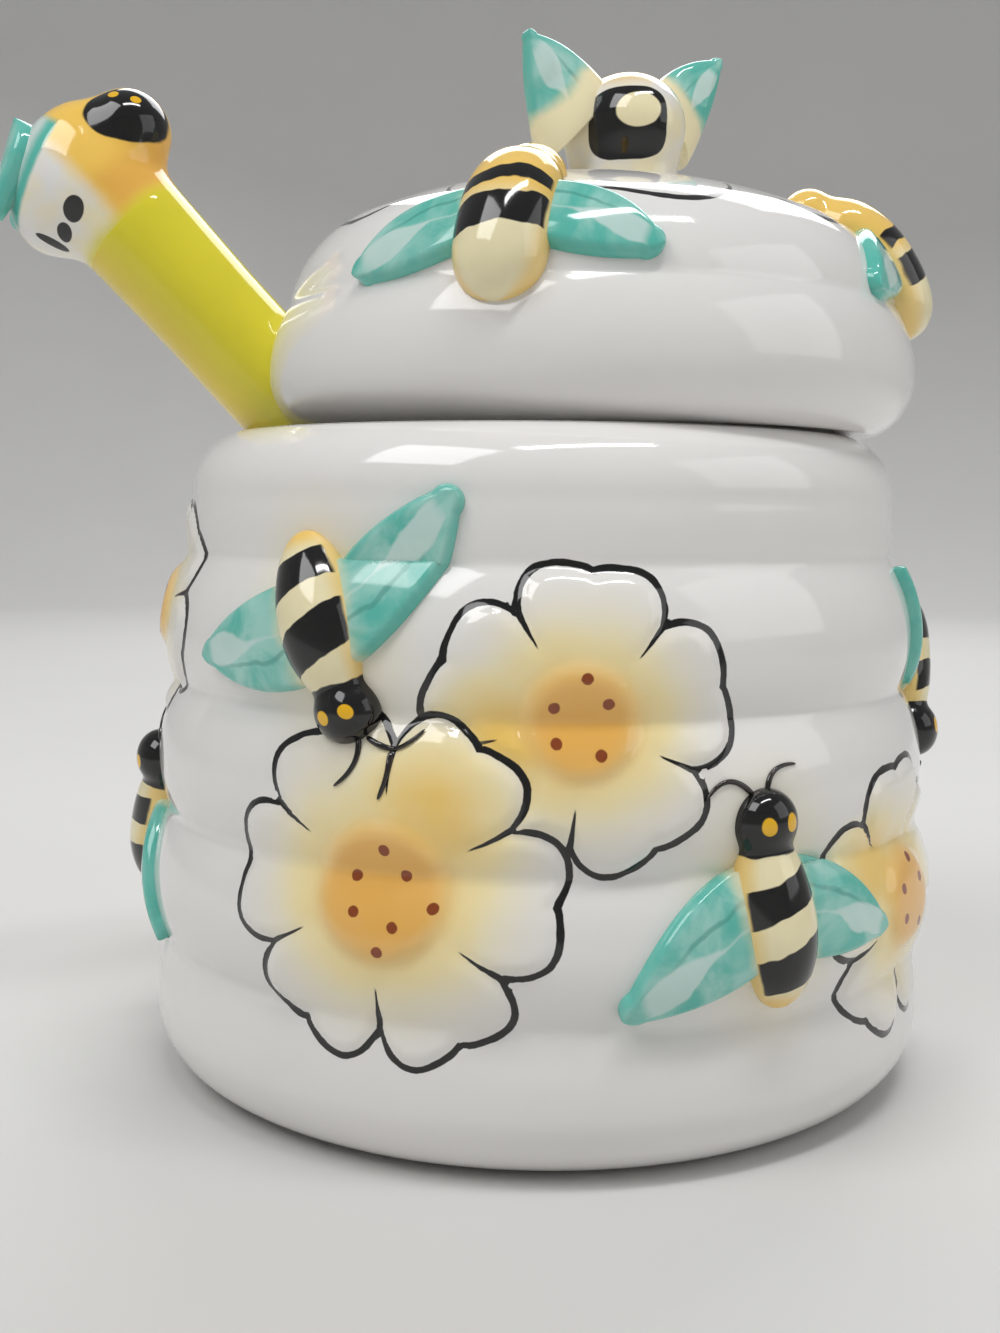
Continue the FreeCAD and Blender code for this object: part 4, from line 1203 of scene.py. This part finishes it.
class HONEYPOT_OT_pot(bpy.types.Operator):
    """Ribbed pot with the flowers' relief and painting"""
    bl_idname = "honeypot.pot"
    bl_label = "Pot"

    def execute(self, context):
        settings = context.scene.honey_pot
        form = settings.pot
        wall = resampled(pot_wall(form), POT_ROWS[1])
        skin = Skin(pot_wall(form))
        under = resampled(pot_under(form), POT_ROWS[0])[:-1]
        inside = resampled(pot_inside(form), POT_ROWS[2])[1:]
        outline = np.concatenate([under, wall, inside])
        azimuth = turns(POT_COLUMNS)
        rows = np.arange(len(outline))[:, None]
        first = len(under)
        run = (rows - first) / (len(wall) - 1.0) * skin.s[-1]
        on_wall = (rows >= first) & (rows < first + len(wall))
        relief, plans = pot_fields(settings, skin, azimuth, np.clip(run, 0.0, skin.s[-1]))
        relief = np.where(on_wall, relief, 0.0)
        r = outline[:, :1] + relief
        points = around(r, azimuth, outline[:, 1:])
        fields = {}
        for key, plan in plans.items():
            blank = 0.0 if key == "halo" else FAR / MM
            mask = on_wall if plan.ndim == 2 else on_wall[..., None]
            fields[key] = np.where(mask, plan, blank)
        flowers = range(1, len(OVER_FLOWERS) + len(UNDER_FLOWERS) + 1)
        nodes = ["flower_%d_%s" % (k, part) for k in flowers for part in ("petals", "centre")]
        add_surface("pot", points, "pot", materials(settings)["painted_pot"], fields,
                    ["pot_shell"] + nodes)
        return {"FINISHED"}


class HONEYPOT_OT_pot_bees(bpy.types.Operator):
    """Bees on the pot's wall"""
    bl_idname = "honeypot.pot_bees"
    bl_label = "Bees on the pot"

    def execute(self, context):
        settings = context.scene.honey_pot
        skin = Skin(pot_wall(settings.pot))
        form = settings.bee
        for number, bee in enumerate(POT_BEES, 1):
            left_tip, right_tip, pair = bee[3:]
            wings = []
            for label, tip in (("left", left_tip), ("right", right_tip)):
                beside = math.copysign(form.root_side, tip[1])
                wings.append((label, ((form.fore_root, beside), np.array(tip) * MM,
                                      (-form.aft_root, beside))))
            add_bee(skin, bee_place(skin, bee), "pot_bee_%d" % number, "pot", wings,
                    FEELERS[pair], settings)
        return {"FINISHED"}


class HONEYPOT_OT_lid(bpy.types.Operator):
    """Domed lid with its flange and the notch for the shaft"""
    bl_idname = "honeypot.lid"
    bl_label = "Lid"

    def execute(self, context):
        settings = context.scene.honey_pot
        form = settings.lid
        inside = resampled(lid_inside(form), LID_ROWS[0])
        outside = resampled(lid_outline(form), LID_ROWS[1])
        outline = np.concatenate([inside[:-1], outside])
        azimuth = turns(LID_COLUMNS)
        r = outline[:, :1] + 0 * azimuth
        points = around(r, azimuth, outline[:, 1:], form.shift)
        on_top = (np.arange(len(outline)) >= len(inside) - 1)[:, None]
        start, size, petals = LID_FLOWER
        x = (azimuth - math.radians(start)) * petals / (2 * np.pi)
        edge = r - size * MM * petal_edge(settings.flower, x)
        edge = np.where(on_top, edge, FAR) / MM
        lid = add_surface("lid", points, "lid", materials(settings)["painted_lid"],
                          {"flower_lid": edge}, ["lid_shell"])
        cut_notch(lid, settings)
        return {"FINISHED"}


def shaft_axis(settings):
    """Point where the shaft's axis crosses the rim plane, its direction and its upper side."""
    pot = settings.pot
    dipper = settings.dipper
    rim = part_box("pot_shell")[1].z
    along = np.array([-math.sin(dipper.tilt), 0.0, math.cos(dipper.tilt)])
    over = np.array([math.cos(dipper.tilt), 0.0, math.sin(dipper.tilt)])
    edge = np.array([-pot.rim_radius, 0.0, rim - pot.rim_round])
    gap = settings.lid.notch_radius - dipper.shaft_radius
    near = edge + over * (pot.rim_round + gap + dipper.shaft_radius)
    return near + along * ((rim - near[2]) / along[2]), along, over


def cut_notch(lid, settings):
    """Cuts the shaft's notch out of the lid: a half round over a slot, carried along the shaft."""
    centre, along, over = shaft_axis(settings)
    radius = settings.lid.notch_radius
    t = np.linspace(0.0, np.pi, 33)
    arch = np.concatenate([np.stack([np.cos(t), np.sin(t)], -1) * radius,
                           [(-radius, -NOTCH_DROP), (radius, -NOTCH_DROP)]])
    ends = np.array(NOTCH_ENDS)[:, None, None]
    points = centre + ends * along + arch[:, :1] * BACKWARD + arch[:, 1:] * over
    count = len(arch)
    mesh = bpy.data.meshes.new("notch")
    sides = [(k, (k + 1) % count, count + (k + 1) % count, count + k) for k in range(count)]
    caps = [tuple(range(count))[::-1], tuple(range(count, 2 * count))]
    mesh.from_pydata(points.reshape(-1, 3).tolist(), [], sides + caps)
    cutter = bpy.data.objects.new("notch", mesh)
    bpy.context.scene.collection.objects.link(cutter)
    modifier = lid.modifiers.new("notch", "BOOLEAN")
    modifier.object = cutter
    modifier.operation = "DIFFERENCE"
    modifier.solver = "EXACT"
    bpy.context.view_layer.update()
    depsgraph = bpy.context.evaluated_depsgraph_get()
    cut = bpy.data.meshes.new_from_object(lid.evaluated_get(depsgraph))
    lid.modifiers.clear()
    lid.data = cut
    cut.set_sharp_from_angle(angle=math.radians(40))
    bpy.data.objects.remove(cutter)


class HONEYPOT_OT_lid_bees(bpy.types.Operator):
    """Bees over the shoulder of the lid"""
    bl_idname = "honeypot.lid_bees"
    bl_label = "Bees on the lid"

    def execute(self, context):
        settings = context.scene.honey_pot
        skin = Skin(lid_outline(settings.lid), settings.lid.shift)
        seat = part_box("lid_shell")[0].z + settings.lid.flange_depth
        middle = skin.run_at(seat + LID_BEE_RISE) + LID_BEE_UP
        for number, azimuth in enumerate(LID_BEE_AZIMUTHS, 1):
            add_bee(skin, (math.radians(azimuth), middle, 0.0), "lid_bee_%d" % number, "lid",
                    LID_BEE_WINGS, (), settings, LID_BEE_FULLER, LID_BEE_BLUNT, "painted_lid_bee")
        return {"FINISHED"}


def turned_about(start, axis, across, outline, columns=96):
    """A surface turned about a slanted axis: outline rows hold the run along it and the radius."""
    third = np.cross(axis, across)
    t = turns(columns)[..., None]
    run = outline[:, None, :1]
    radius = outline[:, None, 1:]
    return start + axis * run + radius * (np.cos(t) * across + np.sin(t) * third)


def dipper_outline(form, sunk):
    """Run along the axis and radius of the dipper, from its lower end up to the finial.

    The rings swell from the first to the middle and back as half a sine, and each is crowned by an
    arc. The rim plane crosses the axis at the run sunk.
    """
    pitch = form.head_length / form.rings
    profile = [(0.0, 0.0)]
    for k in range(form.rings):
        swell = math.sin(math.pi * k / (form.rings - 1))
        radius = form.head_end_radius + (form.head_radius - form.head_end_radius) * swell
        t = np.linspace(-RING_TURN, RING_TURN, 9)
        crown = radius - RING_CROWN * (1 - np.cos(t)) / (1 - math.cos(RING_TURN))
        run = k * pitch + RING_HALF * (1 + np.sin(t) / math.sin(RING_TURN))
        low = form.groove_radius
        profile += [(run[0] + RING_STEP, low)] if k else []
        profile += list(zip(run, crown))
        profile += [(run[-1] - RING_STEP, low), ((k + 1) * pitch, low)]
    neck = form.head_length + form.neck_length
    t = np.linspace(0.0, 1.0, 12)
    ease = form.neck_radius + (form.shaft_radius - form.neck_radius) * smooth(t)
    profile += list(zip(neck + NECK_EASE * t, ease))
    total = sunk + form.reach + END_PAST
    profile += [(sunk + 3 * form.shaft_radius, form.shaft_radius), (total, form.end_radius)]
    profile += [(total, 0.0)]
    outline = np.array(profile)
    counts = np.clip(np.hypot(*np.diff(outline, axis=0).T) / SHAFT_STEP, 1, 20).astype(int)
    fine = [np.linspace(a, b, n, endpoint=False)
            for a, b, n in zip(outline, outline[1:], counts)]
    return np.concatenate(fine + [outline[-1:]])


class HONEYPOT_OT_dipper(bpy.types.Operator):
    """Shaft with its neck and ringed end"""
    bl_idname = "honeypot.dipper"
    bl_label = "Dipper"

    def execute(self, context):
        settings = context.scene.honey_pot
        form = settings.dipper
        at_rim, along, over = shaft_axis(settings)
        tip_height = settings.pot.floor_thickness + TIP_GAP + form.head_end_radius * over[2]
        sunk = (at_rim[2] - tip_height) / along[2]
        outline = dipper_outline(form, sunk)
        points = turned_about(at_rim - along * sunk, along, over, outline)
        upper = np.cos(turns(points.shape[1])) + 0 * outline[:, :1]
        add_surface("dipper", points, "dipper", materials(settings)["painted_shaft"],
                    {"shaft_over": upper}, ["dipper_shaft"])
        return {"FINISHED"}


class HONEYPOT_OT_knob(bpy.types.Operator):
    """Bee on the crown of the lid that serves as its knob"""
    bl_idname = "honeypot.knob"
    bl_label = "Knob"

    def execute(self, context):
        settings = context.scene.honey_pot
        form = settings.knob
        glazes = materials(settings)
        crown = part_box("lid_shell")[1].z
        centre = np.array([settings.lid.shift + form.shift, 0.0, crown + form.rise])
        tail = np.array([math.sin(form.turn), -math.cos(form.turn), 0.0])
        side = np.array([math.cos(form.turn), math.sin(form.turn), 0.0])
        t = np.linspace(-1.0, np.pi / 2, 90)[:, None]
        a = turns(128)
        above = np.where(t > 0, form.radius * np.sin(t), t * (form.rise + KNOB_SINK))
        share = np.where(t > 0, np.cos(t), 1.0 - KNOB_WAIST * smooth(-t * 1.4))
        share = np.where(t <= -1.0, 0.0, share)
        along = form.half_length * share * np.cos(a)
        beside = form.radius * share * np.sin(a)
        points = (centre + along[..., None] * tail + beside[..., None] * side
                  + (above + 0 * a)[..., None] * UP)
        plan = (points - centre) / MM
        add_surface("knob_body", points, "lid", glazes["painted_knob"], {"knob_plan": plan},
                    ["knob_body"])
        for label, turn, foot, drop in (("left", -1, form.left_foot, form.left_foot_drop),
                                        ("right", 1, form.right_foot, form.right_foot_drop)):
            corners = ((turn * form.wing_root, form.wing_root_rise),
                       (turn * form.wing_tip, form.wing_tip_rise), (turn * foot, -drop))
            points, plan = free_wing(settings.bee, centre, side, UP, corners, form.tip_radius,
                                     KNOB_WING_FILL)
            add_wing("knob_wing_" + label, points, plan, "lid", glazes["painted_free_wing"])
        return {"FINISHED"}


def ovoid_distance(local, axis, half_length, radius):
    """About the distance from an ovoid round an axis, negative inside."""
    run = local @ axis
    rest = np.sqrt(np.clip((local ** 2).sum(-1) - run ** 2, 0.0, None))
    near = np.hypot(run / half_length, rest / radius)
    steep = np.hypot(run / half_length ** 2, rest / radius ** 2) + 1e-9
    return np.where(near > 1e-6, near * (near - 1.0) / steep, -radius)


def rod_distance(points, ends, radii):
    """Distance from a round-ended rod whose radius changes evenly between its ends."""
    line = ends[1] - ends[0]
    share = np.clip((points - ends[0]) @ line / (line @ line), 0.0, 1.0)
    away = np.linalg.norm(points - ends[0] - share[..., None] * line, axis=-1)
    return away - radii[0] - (radii[1] - radii[0]) * share


def merged(a, b, blend):
    """Distance from two forms that flow into each other over the length blend."""
    share = np.clip(0.5 + 0.5 * (b - a) / blend, 0.0, 1.0)
    return b + (a - b) * share - blend * share * (1.0 - share)


def marched(start, way, distance):
    """Points where rays from inside a form meet its surface, by steps of the distance left."""
    reach = np.zeros(way.shape[:2])
    for _ in range(MARCH_STEPS):
        reach = reach - MARCH_SHARE * distance(start + way * reach[..., None])
    return start + way * reach[..., None]


class HONEYPOT_OT_finial(bpy.types.Operator):
    """Bee across the end of the dipper's shaft"""
    bl_idname = "honeypot.finial"
    bl_label = "Finial"

    def execute(self, context):
        settings = context.scene.honey_pot
        form = settings.finial
        glazes = materials(settings)
        at_rim, along, over = shaft_axis(settings)
        end = at_rim + along * settings.dipper.reach
        forward = over * math.cos(form.turn) + along * math.sin(form.turn)
        back = along * math.cos(form.turn) - over * math.sin(form.turn)
        beside = BACKWARD
        centre = end + along * form.ahead - over * form.drop
        head = end + along * form.head_ahead + over * form.head_up
        p = np.linspace(0.0, np.pi, 180)[:, None, None]
        q = turns(180)[..., None]
        way = np.cos(p) * forward + np.sin(p) * (np.cos(q) * back + np.sin(q) * beside)
        rod = (end - along * form.neck_down, end + along * form.neck_up)

        def distance(at):
            body = ovoid_distance(at - centre, forward, form.half_length, form.radius)
            ball = np.linalg.norm(at - head, axis=-1) - form.head_radius
            neck = rod_distance(at, rod, (form.neck_low_radius, form.neck_top_radius))
            return merged(merged(body, ball, form.head_blend), neck, form.neck_blend)

        points = marched(centre, way, distance)
        cap = cap_plan(points, head, form.head_radius)
        local = points - centre
        plan = np.stack([local @ forward, local @ beside, local @ back], -1) / MM
        from_end = points - end
        neck = np.stack([from_end @ along, from_end @ over, from_end @ beside], -1) / MM
        add_surface("finial_body", points, "dipper", glazes["painted_finial"],
                    {"finial_plan": plan, "cap_plan": cap, "neck_plan": neck},
                    ["finial_body", "finial_head"])
        for label, turn in (("front", -1), ("back", 1)):
            root = (centre + forward * form.wing_root + back * (form.radius - form.root_sink)
                    + beside * turn * form.root_side)
            tip = (centre - forward * form.wing_tip + back * (form.radius - form.tip_sink)
                   + beside * turn * form.tip_side)
            out = back * math.cos(form.wing_lean) + beside * turn * math.sin(form.wing_lean)
            line = tip - root
            span = np.linalg.norm(line)
            across = unit(np.cross(out, line)) * turn
            half = form.wing_width / 2
            points, plan = free_wing(settings.bee, root, line / span, across,
                                     ((0.0, half), (span, 0.0), (0.0, -half)),
                                     settings.bee.tip_radius, FINIAL_WING_FILL, FINIAL_WING_ROUND)
            add_wing("finial_wing_" + label, points, plan, "dipper", glazes["painted_finial_wing"])
        return {"FINISHED"}


def cap_plan(points, head, radius):
    """Across, up and towards the front of points on the finial's head, in shares of its radius."""
    front = unit(np.array(CAP_FRONT))
    across = -unit(np.cross(UP, front))
    up = np.cross(across, front)
    local = (points - head) / radius
    return np.stack([local @ across, local @ up * np.sign(up[2]), local @ front], -1)


class HONEYPOT_OT_stage(bpy.types.Operator):
    """Pale floor that rises to a round backdrop, soft lamps and the camera"""
    bl_idname = "honeypot.stage"
    bl_label = "Stage"

    def execute(self, context):
        stage = context.scene.honey_pot.stage
        t = np.linspace(0.0, np.pi / 2, 24)
        cove = np.stack([COVE_START + COVE_RADIUS * np.sin(t),
                         COVE_RADIUS - COVE_RADIUS * np.cos(t)], -1)
        outline = np.concatenate([[(0.0, 0.0), (0.3, 0.0), (0.7, 0.0)], cove,
                                  [(COVE_START + COVE_RADIUS, BACKDROP_HEIGHT)]])
        azimuth = turns(96)
        r = outline[::-1, :1] + 0 * azimuth
        points = around(r, azimuth, outline[::-1, 1:])
        material = bpy.data.materials.new("stage_paper")
        material.use_nodes = True
        paint = Paint(material.node_tree)
        shader = material.node_tree.nodes["Principled BSDF"]
        paint.set(shader.inputs["Base Color"], speckle(
            paint, stage.floor, darker(stage.floor, 0.98), 8.0))
        shader.inputs["Roughness"].default_value = 0.9
        rows, cols = points.shape[:2]
        index = np.arange(rows * cols).reshape(rows, cols)
        right = np.roll(index, -1, 1)
        quads = np.stack([index[:-1], index[1:], right[1:], right[:-1]], -1).reshape(-1, 4)
        mesh = bpy.data.meshes.new("stage_floor")
        mesh.from_pydata(points.reshape(-1, 3).tolist(), [], quads.tolist())
        mesh.polygons.foreach_set("use_smooth", np.ones(len(quads), bool))
        mesh.materials.append(material)
        floor = bpy.data.objects.new("stage_floor", mesh)
        context.scene.collection.objects.link(floor)
        for lamp in LAMPS:
            add_lamp(*lamp)
        world = context.scene.world or bpy.data.worlds.new("studio")
        context.scene.world = world
        world.use_nodes = True
        world.node_tree.nodes["Background"].inputs[0].default_value = SKY
        world.node_tree.nodes["Background"].inputs[1].default_value = SKY_STRENGTH
        add_camera(context, stage)
        context.scene.view_settings.view_transform = "Standard"
        return {"FINISHED"}


def add_lamp(name, where, target, width, height, power):
    """A soft rectangular lamp that faces a point."""
    lamp = bpy.data.lights.new(name, "AREA")
    lamp.shape = "RECTANGLE"
    lamp.size = width
    lamp.size_y = height
    lamp.energy = power
    holder = bpy.data.objects.new(name, lamp)
    away = unit(np.array(where) - np.array(target))
    right = unit(np.cross(UP, away))
    turn = np.eye(4)
    turn[:3, 0], turn[:3, 1], turn[:3, 2] = right, np.cross(away, right), away
    turn[:3, 3] = where
    holder.matrix_world = Matrix(turn.tolist())
    bpy.context.scene.collection.objects.link(holder)


def add_camera(context, stage):
    """The camera at the photograph's place: turned left, pitched down and rolled a little."""
    camera = bpy.data.cameras.new("camera")
    camera.sensor_fit = "VERTICAL"
    camera.sensor_height = 36.0
    camera.lens = stage.focal_length
    camera.clip_start = 0.01
    holder = bpy.data.objects.new("camera", camera)
    turn = (Matrix.Rotation(stage.camera_yaw, 4, "Z")
            @ Matrix.Rotation(math.pi / 2 - stage.camera_pitch, 4, "X")
            @ Matrix.Rotation(stage.camera_roll, 4, "Z"))
    holder.matrix_world = Matrix.Translation(
        (0.0, -stage.camera_distance, stage.camera_height)) @ turn
    context.scene.collection.objects.link(holder)
    context.scene.camera = holder


class HONEYPOT_PT_sidebar(bpy.types.Panel):
    """Sizes, glazes and steps of the honey pot"""
    bl_label = "Honey Pot"
    bl_idname = "HONEYPOT_PT_sidebar"
    bl_space_type = "VIEW_3D"
    bl_region_type = "UI"
    bl_category = "Honey Pot"

    def draw(self, context):
        settings = context.scene.honey_pot
        for step in STEPS:
            self.layout.operator(step.bl_idname)
        for group in (settings.pot, settings.lid, settings.dipper, settings.bee, settings.knob,
                      settings.finial, settings.flower, settings.glaze, settings.stage):
            box = self.layout.box()
            for key in group.bl_rna.properties.keys():
                if key not in ("rna_type", "name"):
                    box.prop(group, key)


FORMS = (PotForm, LidForm, DipperForm, BeeForm, KnobForm, FinialForm, FlowerForm, Glazes, Stage,
         HoneyPot)
STEPS = (HONEYPOT_OT_pot, HONEYPOT_OT_pot_bees, HONEYPOT_OT_lid, HONEYPOT_OT_lid_bees,
         HONEYPOT_OT_knob, HONEYPOT_OT_dipper, HONEYPOT_OT_finial, HONEYPOT_OT_stage)


def register():
    for cls in FORMS + STEPS + (HONEYPOT_PT_sidebar,):
        bpy.utils.register_class(cls)
    bpy.types.Scene.honey_pot = bpy.props.PointerProperty(type=HoneyPot)


def unregister():
    del bpy.types.Scene.honey_pot
    for cls in reversed(FORMS + STEPS + (HONEYPOT_PT_sidebar,)):
        bpy.utils.unregister_class(cls)


def main():
    register()
    bpy.ops.honeypot.pot()
    bpy.ops.honeypot.pot_bees()
    bpy.ops.honeypot.lid()
    bpy.ops.honeypot.lid_bees()
    bpy.ops.honeypot.knob()
    bpy.ops.honeypot.dipper()
    bpy.ops.honeypot.finial()
    bpy.ops.honeypot.stage()


if __name__ == "__main__":
    main()
